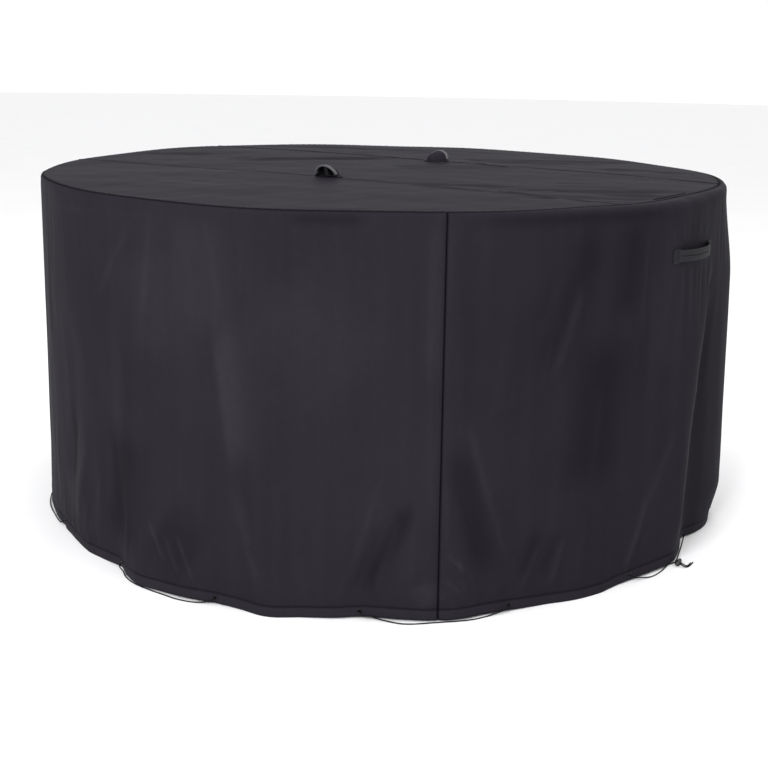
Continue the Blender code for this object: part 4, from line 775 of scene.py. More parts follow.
def ribbed_webbing(name, dark, pale, rib, roughness):
    """Woven strap: ribs along it, crossed by the finer weft."""
    strap = Finish(name)
    place, flat = strap.place(), strap.cloth_place()
    along, across, _ = strap.parts(flat)
    ribs = (across * (2 * pi / rib)).sine()
    weft = (along * (2 * pi / 0.0011) + 1.6 * ribs).sine()
    fluff = strap.noise(place, 320.0, 3.0, 0.6)
    tone = (0.5 + 0.22 * ribs + 0.16 * weft + 0.5 * (fluff - 0.5)).clamped()
    colour = strap.ramp(tone, (0.15, dark), (0.85, pale))
    relief = strap.bump(ribs + 0.5 * weft + 0.3 * fluff, 0.45, 0.00022)
    return strap.done(
        Base_Color=colour,
        Roughness=(roughness + 0.12 * (fluff - 0.5)).clamped(),
        Normal=relief,
        IOR=1.20,
    )


def braided_cord():
    """Round braid: two sets of strands that cross."""
    cord = Finish("drawcord")
    along, around, _ = cord.parts(cord.cloth_place())
    turn, lead = 2 * pi * 8 * around, along * (2 * pi / 0.0040)
    strands = (lead + turn).sine() * (lead - turn).sine()
    fluff = cord.noise(cord.place(), 600.0, 2.0, 0.6)
    tone = (0.5 + 0.35 * strands + 0.3 * (fluff - 0.5)).clamped()
    colour = cord.ramp(tone, (0.1, (0.003, 0.003, 0.0034)), (0.9, (0.011, 0.011, 0.012)))
    relief = cord.bump(strands + 0.3 * fluff, 0.6, 0.00030)
    return cord.done(Base_Color=colour, Roughness=0.70 + 0.2 * (fluff - 0.5), Normal=relief, IOR=1.15)


def blackened_metal():
    """Black coated metal: glossy, with the faint orange skin of its coat and a little wear."""
    metal = Finish("blackened_eyelet")
    place = metal.place()
    skin, scuffs = metal.noise(place, 900.0, 2.0, 0.5), metal.noise(place, 240.0, 4.0, 0.7)
    worn = ((scuffs - 0.56) * 9.0).clamped()
    colour = metal.blend(worn * 0.5, (0.012, 0.012, 0.013, 1.0), (0.075, 0.075, 0.080, 1.0))
    relief = metal.bump(skin, 0.15, 0.00010)
    rough, metallic = 0.22 + 0.25 * scuffs, 0.85 - 0.3 * worn
    return metal.done(Base_Color=colour, Roughness=rough, Metallic=metallic, Normal=relief)


def moulded_plastic():
    plastic = Finish("lock_plastic")
    place = plastic.place()
    grain, flow = plastic.noise(place, 1500.0, 2.0, 0.5), plastic.noise(place, 160.0, 3.0, 0.5)
    colour = plastic.ramp(flow, (0.3, (0.007, 0.007, 0.008)), (0.7, (0.014, 0.014, 0.015)))
    relief = plastic.bump(grain, 0.25, 0.00006)
    return plastic.done(Base_Color=colour, Roughness=0.36 + 0.18 * flow, Normal=relief)


def sewing_thread():
    thread = Finish("sewing_thread")
    place = thread.place()
    twist = thread.noise(place, 1100.0, 2.0, 0.5)
    colour = thread.ramp(twist, (0.3, (0.008, 0.0075, 0.010)), (0.7, (0.017, 0.016, 0.020)))
    relief = thread.bump(twist, 0.4, 0.00008)
    return thread.done(Base_Color=colour, Roughness=0.50 + 0.2 * twist, Normal=relief, IOR=1.15)


def studio_floor():
    floor = Finish("studio_floor")
    place = floor.place()
    speckle = floor.noise(place, 3.0, 4.0, 0.6)
    colour = floor.ramp(speckle, (0.2, (0.86, 0.86, 0.87)), (0.8, (0.89, 0.89, 0.90)))
    return floor.done(Base_Color=colour, Roughness=0.75 + 0.1 * speckle, Specular_IOR_Level=0.2)


# ---- making pieces


def linked(name, data):
    made = bpy.data.objects.new(name, data)
    bpy.context.scene.collection.objects.link(made)
    return made


def piece_of(name, points, faces, flat, finish, rubbed=None):
    """A piece from its corners and faces, with its map in metres of cloth, by corner or by face's corner."""
    mesh = bpy.data.meshes.new(name)
    mesh.from_pydata(points.tolist(), [], faces)
    flat = np.asarray(flat, np.float32).reshape(-1, 2)
    if len(flat) == len(points):
        corners = np.empty(len(mesh.loops), np.int32)
        mesh.loops.foreach_get("vertex_index", corners)
        flat = flat[corners]
    mesh.uv_layers.new(name="cloth_metres").data.foreach_set("uv", flat.ravel())
    # wear with painted light and shade, per corner, for the cloth's finish
    if rubbed is not None:
        worn = mesh.attributes.new("rubbed", "FLOAT", "POINT")
        worn.data.foreach_set("value", rubbed.astype(np.float32).ravel())
    mesh.materials.append(finish)
    mesh.shade_smooth()
    return linked(name, mesh)


def grid_of(*parts):
    """Arrays of one measure each, spread over the same grid and joined as its places."""
    return np.stack(np.broadcast_arrays(*parts), axis=-1)


def lengths_along(points):
    return np.concatenate([[0.0], np.cumsum(np.linalg.norm(np.diff(points, axis=0), axis=1))])


def sheet_of(name, points, flat, finish, rubbed=None):
    """An open sheet from a grid of places; its face is on the side of down x across."""
    rows, columns = points.shape[:2]
    index = np.arange(rows * columns).reshape(rows, columns)
    corners = [index[:-1, :-1], index[1:, :-1], index[1:, 1:], index[:-1, 1:]]
    faces = np.stack(corners, axis=-1).reshape(-1, 4).tolist()
    return piece_of(name, points.reshape(-1, 3), faces, flat.reshape(-1, 2), finish, rubbed)


def loft_of(name, sections, flat, finish, ring=False, sharp_above=50.0):
    """A solid through closed sections of as many points each; ring joins the last to the first.

    The map has as many columns as a section has points, or one more where it goes right round.
    """
    sections = np.asarray(sections)
    count, around = sections.shape[:2]
    columns = flat.shape[1]
    faces, mapped = [], []
    for k in range(count if ring else count - 1):
        following = (k + 1) % count
        for i in range(around):
            j = (i + 1) % around
            faces.append((k * around + i, k * around + j, following * around + j, following * around + i))
            edge = (i + 1) % columns
            mapped += [flat[k, i], flat[k, edge], flat[following, edge], flat[following, i]]
    if not ring:
        for k in (0, count - 1):
            faces.append(tuple(k * around + i for i in range(around)))
            mapped += list(flat[k, :around])
    made = piece_of(name, sections.reshape(-1, 3), faces, np.array(mapped), finish)
    outward_faces(made)
    made.data.set_sharp_from_angle(angle=radians(sharp_above))
    return made


def outward_faces(piece):
    work = bmesh.new()
    work.from_mesh(piece.data)
    bmesh.ops.recalc_face_normals(work, faces=work.faces)
    work.to_mesh(piece.data)
    work.free()
    piece.data.shade_smooth()


def thickened(piece, thickness):
    solid = piece.modifiers.new("cloth_thickness", "SOLIDIFY")
    solid.thickness = thickness
    solid.offset = -1.0
    return piece


def settled(piece):
    """Turns a piece's modifiers into its plain mesh."""
    graph = bpy.context.evaluated_depsgraph_get()
    mesh = bpy.data.meshes.new_from_object(
        piece.evaluated_get(graph), preserve_all_data_layers=True, depsgraph=graph
    )
    piece.modifiers.clear()
    piece.data = mesh
    return piece


def placed(matrix, points):
    """Places an array of points by a matrix."""
    matrix = np.array(matrix)
    return np.asarray(points) @ matrix[:3, :3].T + matrix[:3, 3]


def frame_at(origin, x_axis, z_axis):
    """A placing matrix: its X along x_axis, its Z along z_axis as nearly as X allows."""
    x_axis = Vector(x_axis).normalized()
    y_axis = Vector(z_axis).cross(x_axis).normalized()
    z_axis = x_axis.cross(y_axis).normalized()
    made = Matrix((x_axis, y_axis, z_axis)).transposed().to_4x4()
    made.translation = origin
    return made


# ---- the camera

CAMERA_PLACE = (0.0, -3.5661, GROUND + 1.2277)
CAMERA_YAW, CAMERA_PITCH, CAMERA_ROLL = 0.0025, 0.2529, 0.0171
CAMERA_LENS = 61.28


def add_camera():
    level = Vector((cos(CAMERA_YAW), -sin(CAMERA_YAW), 0.0))
    flat = cos(CAMERA_PITCH)
    ahead = Vector((sin(CAMERA_YAW) * flat, cos(CAMERA_YAW) * flat, -sin(CAMERA_PITCH)))
    up = level.cross(ahead)
    right = cos(CAMERA_ROLL) * level + sin(CAMERA_ROLL) * up
    up = -sin(CAMERA_ROLL) * level + cos(CAMERA_ROLL) * up
    seen = bpy.data.cameras.new("photo_camera")
    seen.lens, seen.sensor_width, seen.clip_end = CAMERA_LENS, 36.0, 200.0
    made = linked("photo_camera", seen)
    made.matrix_world = Matrix((right, up, -ahead)).transposed().to_4x4()
    made.location = CAMERA_PLACE
    bpy.context.scene.camera = made


# ---- the drawcord and its lock


def hem_place(angle, inwards, above):
    """A place in the hem's cloth: this far in from its outer face, this far above its lower edge."""
    run = DROP - hem_rise(angle) - above
    return Vector(cover_point(angle, run) - cover_normal(angle, run) * inwards)


def eyelet_frame(angle):
    """At an eyelet's centre on the hem's outer face: X along the hem, Y up it, Z out of the cloth."""
    low, high = HEM_FOLD, HEM_DEPTH
    sides = (angle - EYELET_FACET, angle + EYELET_FACET)
    corners = [hem_place(side, 0.0, above) for above in (low, high) for side in sides]
    share = (EYELET_HEIGHT - low) / (high - low)
    left = corners[0].lerp(corners[2], share)
    right = corners[1].lerp(corners[3], share)
    along = right - left
    up = (corners[2] + corners[3]) - (corners[0] + corners[1])
    return frame_at(left.lerp(right, 0.5), along, along.cross(up))


def eyelet_exit(angle, side):
    """The cord's way out of an eyelet, resting on the bore's lower edge, bending to one side."""
    place = eyelet_frame(angle)
    sag = -0.0007
    inside = ((0.0, sag, -0.0042), (0.0, sag, 0.0030))
    outside = ((0.0035 * side, -0.0030, 0.0078), (0.0105 * side, -0.0070, 0.0086))
    return [place @ Vector(way) for way in inside + outside]


def laid(angle, stand, height):
    """A point of a cord that lies against the hem or under its edge."""
    above = max(0.004, height - float(hem_rise(angle)))
    place = hem_place(angle, 0.0, above) + Vector(outward(angle)) * stand
    place.z = GROUND + height
    return place


def spotted(angle, radius, height):
    place = Vector(outward(angle)) * radius
    place.z = GROUND + height
    return place


def smooth_route(points, longest):
    """Points along a smooth curve through the given ones, at most so far apart."""
    spans = [(b - a).length for a, b in zip(points, points[1:])]
    padded = [points[0] * 2 - points[1], *points, points[-1] * 2 - points[-2]]
    made = [points[0]]
    for k, span in enumerate(spans):
        p0, p1, p2, p3 = padded[k : k + 4]
        before, after = spans[max(0, k - 1)], spans[min(len(spans) - 1, k + 1)]
        slope1 = (p2 - p0) * (span / (before + span))
        slope2 = (p3 - p1) * (span / (span + after))
        steps = ceil(span / longest)
        for i in range(1, steps + 1):
            u = i / steps
            made.append(
                p1 * (2 * u**3 - 3 * u**2 + 1)
                + slope1 * (u**3 - 2 * u**2 + u)
                + p2 * (3 * u**2 - 2 * u**3)
                + slope2 * (u**3 - u**2)
            )
    return made


CORD_SIDES = 12
CORD_SAMPLE = 0.0025


def cord_tube(name, points, finish):
    """A round cord along its points, with its map as metres along and turns round."""
    route = np.array([list(point) for point in points])
    ways = unit(np.gradient(route, axis=0))
    side = unit(np.cross(ways[0], (0.0, 0.3, 1.0)))
    turns = np.arange(CORD_SIDES) * 2 * pi / CORD_SIDES
    sections = []
    for place, way in zip(route, ways):
        side = unit(side - way * np.dot(side, way))
        other = np.cross(way, side)
        ring = np.cos(turns)[:, None] * side + np.sin(turns)[:, None] * other
        sections.append(place + CORD_RADIUS * ring)
    lengths = lengths_along(route)
    flat = grid_of(lengths[:, None], np.linspace(0.0, 1.0, CORD_SIDES + 1)[None])
    return loft_of(name, sections, flat, finish), float(lengths[-1])


def add_cord(node, points, far_end, finish):
    """One stretch of the drawcord: its tube, and the facts of the cord that it is."""
    route = smooth_route(points, CORD_SAMPLE)
    piece, length = cord_tube(node + "_cord", route, finish)
    return piece, dict(
        exit=tuple(route[0]), length=length, diameter=2 * CORD_RADIUS, far_end=far_end, stiffness="limp",
        lay="loose", path=[tuple(point) for point in route], with_pieces=(),
    )


def lock_frame():
    """Middle of the lock: X along its barrel to the button, -Y the way that the cords leave."""
    origin = Vector(outward(LOCK_ANGLE)) * LOCK_OUT
    origin.z = GROUND + LOCK_MIDDLE
    return frame_at(origin, LOCK_AXIS, (0, 0, 1))


def turned_piece(name, place, profile, steps, finish):
    """A round piece: its profile, as (along X, radius), turned about the frame's X."""
    turns = (np.arange(steps) + 0.5) * 2 * pi / steps
    round_x, round_y = np.cos(turns), np.sin(turns)
    sections = [placed(place, grid_of(x, radius * round_x, radius * round_y)) for x, radius in profile]
    flat = np.zeros((len(profile), steps, 2))
    return loft_of(name, sections, flat, finish)


def rounded_profile(corners, radius, steps=4):
    """A profile with its inner corners rounded off."""
    made = [corners[0]]
    for before, corner, after in zip(corners, corners[1:], corners[2:]):
        corner, before, after = Vector(corner), Vector(before), Vector(after)
        lead, trail = (corner - before).length, (after - corner).length
        reach = min(radius, lead / 2, trail / 2)
        start, end = corner.lerp(before, reach / lead), corner.lerp(after, reach / trail)
        for i in range(steps + 1):
            t = i / steps
            made.append(tuple(start.lerp(corner, t).lerp(corner.lerp(end, t), t)))
    return made + [corners[-1]]


LOCK_STEPS, BUTTON_STEPS = 40, 32
LOCK_ROUND_OFF = 0.0009


def add_lock(plastic):
    place, half = lock_frame(), LOCK_LENGTH / 2
    wide, button_wide, end = LOCK_RADIUS, LOCK_BUTTON_RADIUS, half + LOCK_BUTTON
    profile = (
        (-half, wide * 0.05), (-half, wide * 0.80), (-half + 0.0030, wide), (-0.0034, wide),
        (-0.0030, wide * 0.95), (0.0030, wide * 0.95), (0.0034, wide), (half - 0.0006, wide * 0.99),
        (half, wide * 0.86), (half, wide * 0.05),
    )
    profile = rounded_profile(profile, LOCK_ROUND_OFF)
    barrel = turned_piece("cord_lock_barrel_moulding", place, profile, LOCK_STEPS, plastic)
    profile = (
        (half + GAP, button_wide * 0.05), (half + GAP, button_wide), (half + LOCK_BUTTON * 0.7, button_wide),
        (end, button_wide * 0.70), (end, button_wide * 0.05),
    )
    profile = rounded_profile(profile, LOCK_ROUND_OFF)
    button = turned_piece("cord_lock_button_moulding", place, profile, BUTTON_STEPS, plastic)
    work = bmesh.new()
    bmesh.ops.create_cube(work, size=1.0)
    high = 2 * CORD_RADIUS + 2 * LOCK_CLEARANCE
    size = Matrix.Diagonal((CORD_PITCH + high, 4 * LOCK_RADIUS, high, 1.0))
    bmesh.ops.transform(work, matrix=place @ size, verts=work.verts)
    bmesh.ops.bevel(work, geom=work.edges[:], offset=0.0006, segments=3, affect="EDGES", profile=0.5)
    cut_away(barrel, work)
    return barrel, button


def cut_away(piece, work):
    """Takes the closed shape in work out of a piece, and leaves its plain mesh."""
    punch_mesh = bpy.data.meshes.new(piece.name + "_punch")
    work.to_mesh(punch_mesh)
    work.free()
    punch = linked(piece.name + "_punch", punch_mesh)
    cut = piece.modifiers.new("cut", "BOOLEAN")
    cut.operation, cut.solver, cut.object = "DIFFERENCE", "EXACT", punch
    settled(piece)
    bpy.data.objects.remove(punch, do_unlink=True)
    bpy.data.meshes.remove(punch_mesh)
    return piece


def add_cords(finish):
    made = {}
    for name, (start, end, lays) in CORD_RUNS.items():
        back = list(reversed(eyelet_exit(end, -1)))
        points = eyelet_exit(start, 1) + [laid(*row) for row in lays] + back
        made["drawcord_" + name] = add_cord("drawcord_" + name, points, "object", finish)
    place = lock_frame()
    for end in LOCKED_ENDS:
        points = eyelet_exit(end.eyelet, end.side) + [laid(*row) for row in end.lays]
        points += [spotted(*row) for row in end.spots]
        points += [place @ Vector((end.across, way, 0.0)) for way in LOCK_WAY]
        points += [spotted(*row) for row in end.tail]
        made[end.name] = add_cord(end.name, points, "bare", finish)
    return made


# ---- the skirt

FRONT_STEP, BACK_STEP = 0.38, 0.70  # degrees between columns
# metres from a seam, below the rim's seam, and above the hem's stitching or below it
SEAM_COLUMNS = (0.0, 0.0010, 0.0020, 0.0030, 0.0042, 0.0056, 0.0074, 0.0095, 0.0120, 0.0150)
RIM_ROWS = (0.0, 0.0010, 0.0020, 0.0032, 0.0048, 0.0070, 0.0100, 0.0135)
SIDE_ROW = 0.0068
ABOVE_STITCHING = (0.0075, 0.0050, 0.0030, 0.0014)
HEM_ROWS = (0.0, -0.0014, -0.0030, -0.0055, -0.0090, -0.0130, -0.0165, -0.0195)
PANELS = ("skirt_front_left", "skirt_front_right", "skirt_back_right", "skirt_back_left")


def panel_columns(start, step):
    """The angles of one panel's columns, closer together beside its seams."""
    inset = degrees(GAP / TOP_RADIUS) * 0.75
    near = [inset + metres / ARC for metres in SEAM_COLUMNS]
    count = ceil((90.0 - 2 * near[-1]) / step)
    middle = np.linspace(near[-1], 90.0 - near[-1], count + 1)[1:-1]
    return start + np.concatenate([near, middle, 90.0 - np.array(near[::-1])])


def hem_turn():
    """The turned-up edge, as (inwards, above the lower edge): round the fold and up the inner layer."""
    inner = CLOTH + HEM_CHANNEL
    back = inner + CLOTH
    return (
        (0.0, HEM_FOLD), (0.0004, 0.0014), (0.0012, 0.0004), (0.0024, 0.0), (0.5 * back, -0.0002),
        (back - 0.0024, 0.0), (back - 0.0012, 0.0004), (back - 0.0004, 0.0014), (back, HEM_FOLD),
        (back, 0.30 * HEM_DEPTH), (back, 0.60 * HEM_DEPTH),
        (0.5 * (back + 2 * CLOTH), 0.82 * HEM_DEPTH), (2 * CLOTH + GAP, HEM_DEPTH),
    )


def build_skirt_panel(node, start, step, finish):
    angles = panel_columns(start, step)[None, :]
    seam = -rim_seam_in(angles) + GAP
    stitching = DROP - hem_rise(angles) - HEM_DEPTH
    top, foot = seam + RIM_ROWS[-1], stitching - ABOVE_STITCHING[0]
    count = ceil(float((foot - top).max()) / SIDE_ROW)
    parts = (np.arange(1, count) / count)[:, None]
    rows = [seam + metres for metres in RIM_ROWS] + [top + (foot - top) * parts]
    rows += [stitching - metres for metres in ABOVE_STITCHING] + [stitching - metres for metres in HEM_ROWS]
    runs = np.concatenate([np.broadcast_to(row, (len(row), angles.shape[1])) for row in rows])
    spread = np.broadcast_to(angles, runs.shape)
    face, _ = skirt_face(spread, runs)
    turn = []
    edge = DROP - hem_rise(angles)
    for inwards, above in hem_turn():
        place, way = skirt_face(angles, edge - above)
        turn.append(place - way * inwards)
    points = np.concatenate([face] + turn)
    turned_runs = [edge - above + 1.2 * inwards for inwards, above in hem_turn()]
    down = np.concatenate([runs] + turned_runs)
    across = np.broadcast_to(np.radians(angles) * TOP_RADIUS, down.shape)
    rubbed = np.concatenate([wear_and_painted_light_of(spread, runs), np.zeros((len(turn), angles.shape[1]))])
    piece = sheet_of(node + "_cloth", points, np.stack([across, -down], axis=-1), finish, rubbed)
    thickened(piece, CLOTH)
    settled(piece)
    work = bmesh.new()
    for eyelet in EYELET_ANGLES:
        if 0 < (eyelet - start) % 360.0 < 90.0:
            add_punch(work, eyelet_frame(eyelet), EYELET_HOLE, 0.006, CLOTH + 0.5 * HEM_CHANNEL)
    return cut_away(piece, work)


PUNCH_SIDES = 20


def add_punch(work, place, radius, reach_out, reach_in):
    middle = Matrix.Translation((0, 0, (reach_out - reach_in) / 2))
    bmesh.ops.create_cone(
        work, cap_ends=True, segments=PUNCH_SIDES, radius1=radius, radius2=radius,
        depth=reach_out + reach_in, matrix=place @ middle,
    )


RUBBED_LIFT, RUBBED_POWER = 0.0040, 1.5  # a crease this high is rubbed all over
HEM_PALE, HEM_PALE_START = 0.35, 0.004
# painted shade in the seams' grooves: how dark at the middle, and how wide
GrooveShade = namedtuple("GrooveShade", "dark width")
RIM_GROOVE_SHADE, HEM_GROOVE_SHADE, SEAM_GROOVE_SHADE = GrooveShade(0.9, 0.0040), GrooveShade(0.6, 0.0028), GrooveShade(0.9, 0.0030)
TOP_RIM_GROOVE_SHADE, TOP_SEAM_GROOVE_SHADE, TOP_RUBBED_LIFT = GrooveShade(0.9, 0.0045), GrooveShade(0.5, 0.0028), 0.0022


# painted shade in a seam's groove, this far from its middle
def painted_groove_shade(tone, distance):
    return tone.dark * bell(distance, tone.width)


def wear_and_painted_light_of(angle, run):
    """How much paler or, below 0, darker the skirt's cloth is: its worn crease crests, paler below the hem's
    stitching, painted highlight and shade over its folds, and painted shade in its seams' grooves.
    """
    crests = np.clip(skirt_creases(angle, DROP - run) / RUBBED_LIFT, 0.0, 1.0) ** RUBBED_POWER
    stitched = DROP - run - hem_rise(angle) - HEM_DEPTH
    hem = smooth_step(-stitched / HEM_PALE_START)
    # painted shade in the grooves: under the rim, at the hem's stitching and along each side seam
    dark = painted_groove_shade(RIM_GROOVE_SHADE, run + rim_seam_in(angle)) + painted_groove_shade(HEM_GROOVE_SHADE, stitched)
    for seam in SKIRT_SEAMS:
        dark = dark + painted_groove_shade(SEAM_GROOVE_SHADE, difference(angle, seam) * ARC)
    # painted highlight and painted shade over the skirt's folds, fading out below the hem's stitching
    shade = skirt_creases(angle, DROP - run, SKIRT_PAINTED_LIGHT) * (1 - hem)
    return (np.maximum(crests, HEM_PALE * hem) + shade) * (1 - np.minimum(dark, 1.0)) - np.minimum(dark, 1.0)


# ---- the top

TOP_GAP = 0.0006
TOP_STEP, TOP_OUTER_RING, TOP_INNER_RING = 0.0080, 0.84, 0.004
TopZone = namedtuple("TopZone", "beyond columns")
TOP_ZONES = (TopZone(0.45, 640), TopZone(0.225, 320), TopZone(0.11, 160), TopZone(0.0, 80))
TOP_RIM_RINGS = (0.0, 0.0010, 0.0021, 0.0033, 0.0048, 0.0068, 0.0095, 0.0130, 0.0175)
SEAM_LINES = (0.0011, 0.0022, 0.0034, 0.0048, 0.0066, 0.0090, 0.0112, 0.0128, 0.0160)  # metres from a seam


def seam_radius(angle, below):
    """How far from the middle the rim's seam lies, or a place this far along the cloth inside it."""
    run = -rim_seam_in(angle) - TOP_GAP - below
    bend = rim_bend(angle)
    fall = np.clip((run + bend) / (2 * bend), 0.0, 1.0)
    return np.where(run <= -bend, TOP_RADIUS + run, TOP_RADIUS - bend * (1 - fall) ** 2)


def flat_top():
    """The round top as a flat net of faces that are finer towards its edge."""
    work = bmesh.new()
    rings = [(TOP_ZONES[0].columns, below, None) for below in TOP_RIM_RINGS]
    for radius in np.arange(TOP_OUTER_RING, TOP_INNER_RING, -TOP_STEP):
        zone = next(row for row in TOP_ZONES if radius >= row.beyond)
        rings.append((zone.columns, None, radius))
    edge_rings = 6  # between the rim's own rings and the first round one
    made = []
    for count, below, radius in rings:
        angles = np.arange(count) * 360.0 / count
        made.append(seam_radius(angles, below) if radius is None else np.full(count, radius))
    last = len(TOP_RIM_RINGS) - 1
    between = [made[last] + (made[last + 1] - made[last]) * k / edge_rings for k in range(1, edge_rings)]
    made[last + 1 : last + 1] = between
    corners = []
    for radii_here in made:
        count = len(radii_here)
        ways = outward(np.arange(count) * 360.0 / count)
        corners.append([work.verts.new(Vector(way) * float(radius)) for way, radius in zip(ways, radii_here)])
    for outer, inner in zip(corners, corners[1:]):
        each = len(outer) // len(inner)
        for i in range(len(inner)):
            k = (i + 1) % len(inner)
            rim = [outer[(i * each + step) % len(outer)] for step in range(each + 1)]
            work.faces.new(rim + [inner[k], inner[i]])
    middle = work.verts.new((0.0, 0.0, 0.0))
    for i in range(len(corners[-1])):
        work.faces.new((corners[-1][i], corners[-1][(i + 1) % len(corners[-1])], middle))
    return work


def cut_along(work, side_way, distance, keep_beyond):
    bmesh.ops.bisect_plane(
        work,
        geom=list(work.verts) + list(work.edges) + list(work.faces),
        dist=1e-6,
        plane_co=Vector(SEAM_WAY) * distance * side_way,
        plane_no=Vector(SEAM_WAY) * side_way,
        clear_inner=keep_beyond,
    )


def build_top_panel(node, low, high, finish):
    """One panel of the top: the net cut at its seams, with lines of its own beside them, then raised."""
    work = flat_top()
    for limit, way in ((low, 1), (high, -1)):
        if limit is None:
            continue
        cut_along(work, way, limit * way, True)
        for metres in SEAM_LINES:
            cut_along(work, way, limit * way + metres, False)
    bmesh.ops.dissolve_degenerate(work, dist=5e-5, edges=work.edges)
    work.verts.index_update()
    flat = np.array([list(vert.co) for vert in work.verts])
    faces = [[vert.index for vert in face.verts] for face in work.faces]
    work.free()
    x, y = flat[:, 0], flat[:, 1]
    points, _ = top_face(x, y)
    across, along = x * SEAM_WAY[0] + y * SEAM_WAY[1], x * SEAM_RUN[0] + y * SEAM_RUN[1]
    # paler on the worn crests of the fine creases
    wear_and_groove_shade = sum(np.clip(crease_relief(row, x, y) / TOP_RUBBED_LIFT, 0.0, 1.0) for row in FINE_TOP_CREASES)
    below = TOP_RADIUS - rim_seam_in(np.degrees(np.arctan2(x, -y))) - np.hypot(x, y)
    # painted shade in the grooves of the rim's seam and of the top's seams
    dark = painted_groove_shade(TOP_RIM_GROOVE_SHADE, below) + painted_groove_shade(TOP_SEAM_GROOVE_SHADE, np.abs(across) - TOP_SEAM_OFFSET)
    wear_and_groove_shade = np.clip(wear_and_groove_shade, 0.0, 1.0) * (1 - dark) - np.minimum(dark, 1.0)
    piece = piece_of(node + "_cloth", points, faces, np.stack([along, across], axis=-1), finish, wear_and_groove_shade)
    return thickened(piece, CLOTH)


def build_top(finish):
    half = GAP / 2
    limits = {
        "top_front_panel": (TOP_SEAM_OFFSET + half, None),
        "top_centre_panel": (-TOP_SEAM_OFFSET + half, TOP_SEAM_OFFSET - half),
        "top_back_panel": (None, -TOP_SEAM_OFFSET - half),
    }
    panels = {name: build_top_panel(name, low, high, finish) for name, (low, high) in limits.items()}
    for name, panel in panels.items():
        settled(panel)
        if name == "top_centre_panel":
            work = bmesh.new()
            for vent in VENTS:
                bmesh.ops.create_cube(work, size=1.0, matrix=air_hole(vent))
            cut_away(panel, work)
    return panels


# ---- the vents

AIR_HOLE_WIDTH, AIR_HOLE_NEAR, AIR_HOLE_FAR = 0.040, 0.0155, 0.0315


def top_spot(x, y):
    """The top's main shape at one place, and the way out of it there."""
    slope_x, slope_y = top_slopes(x, y)
    return Vector((x, y, float(top_height(x, y)))), Vector((-slope_x, -slope_y, 1.0)).normalized()


def vent_frame(vent):
    """At the middle of a vent's mouth, on the top: X along the seam, -Y out of the mouth, Z up."""
    facing = Vector(outward(vent.facing))
    along = Vector((-facing.y, facing.x, 0.0))
    place = facing * (TOP_SEAM_OFFSET - 0.002) + along * vent.along
    centre = place - facing * VENT_DEPTH / 2
    _, normal = top_spot(centre.x, centre.y)
    origin, _ = top_spot(place.x, place.y)
    return frame_at(origin + normal * VENT_SEAT, along, normal)


def air_hole(vent):
    depth = AIR_HOLE_FAR - AIR_HOLE_NEAR
    middle = Matrix.Translation((0, (AIR_HOLE_NEAR + AIR_HOLE_FAR) / 2, 0))
    return vent_frame(vent) @ middle @ Matrix.Diagonal((AIR_HOLE_WIDTH, depth, 0.02, 1.0))


HOOD_ROWS, HOOD_COLUMNS = 26, 56
HOOD_RIPPLE, HOOD_RIPPLES = 0.0007, 9


def leant(back, height):
    """How far back a place of the hood is, as the hood leans out of its mouth."""
    return back - VENT_LEAN * (height / VENT_RISE) * np.maximum(0.0, 1 - back / VENT_DEPTH)


def build_hood(vent, finish):
    """The hood: a dome of cloth with its mouth open, and a flange that is sewn flat to the top."""
    parts = np.sin(np.linspace(0.0, pi / 2, HOOD_ROWS)) * 0.5 + np.linspace(0.0, 1.0, HOOD_ROWS) * 0.5
    swell, depth = np.cos(parts * pi / 2)[:, None], VENT_DEPTH * np.sin(parts * pi / 2)[:, None]
    theta = np.linspace(0.0, pi, HOOD_COLUMNS)[None, :]
    ripple = HOOD_RIPPLE * np.sin(HOOD_RIPPLES * theta + 1.0) * np.sin(pi * parts)[:, None]
    ripple = ripple * np.sin(theta) ** 0.5
    x = (VENT_HALF_WIDTH + ripple) * swell * np.cos(theta)
    z = (VENT_RISE + ripple) * swell * np.sin(theta)
    dome = grid_of(x, leant(depth, z), z)
    root = 0.0030
    low = 1 - np.sin(np.minimum(pi / 2, dome[..., 2] / root))
    dome[..., 2] = np.maximum(dome[..., 2], CLOTH + root * low * 0.3)
    flanges = []
    for side in (1, -1):
        foot = np.concatenate([side * VENT_HALF_WIDTH * swell, depth, np.full_like(depth, CLOTH)], axis=-1)
        away = unit(np.concatenate([side * swell, np.sin(parts * pi / 2)[:, None], 0 * depth], axis=-1))
        reach = VENT_FLANGE * np.array([1.0, 0.86, 0.62, 0.38, 0.18])
        lift = np.array([0.0, 0.0, -0.0001, 0.0, 0.0003])
        band = foot[:, None, :] + away[:, None, :] * reach[None, :, None]
        band[..., 2] += lift
        flanges.append(band)
    points = np.concatenate([flanges[0], dome, flanges[1][:, ::-1]], axis=1)
    widths = lengths_along(points[0])
    lengths = lengths_along(points[:, HOOD_COLUMNS // 2])
    flat = grid_of(widths[None, :], lengths[:, None])
    rubbed = np.zeros(points.shape[:2])
    piece = sheet_of(vent.name + "_hood_cloth", placed(vent_frame(vent), points), flat, finish, rubbed)
    work = bmesh.new()
    work.from_mesh(piece.data)
    bmesh.ops.remove_doubles(work, verts=work.verts, dist=2e-5)
    middle = Vector(vent_frame(vent) @ Vector((0, VENT_DEPTH / 2, 0)))
    crown = max(work.faces, key=lambda face: face.calc_center_median().z)
    if crown.normal.dot(crown.calc_center_median() - middle) < 0:
        bmesh.ops.reverse_faces(work, faces=work.faces)
    work.to_mesh(piece.data)
    work.free()
    piece.data.shade_smooth()
    thickened(piece, CLOTH - 0.0002)
    return settled(piece)


def hood_swell(back):
    """How much narrower the hood is, this far behind its mouth."""
    return np.sqrt(1 - np.clip(back / VENT_DEPTH, 0.0, 1.0) ** 2)


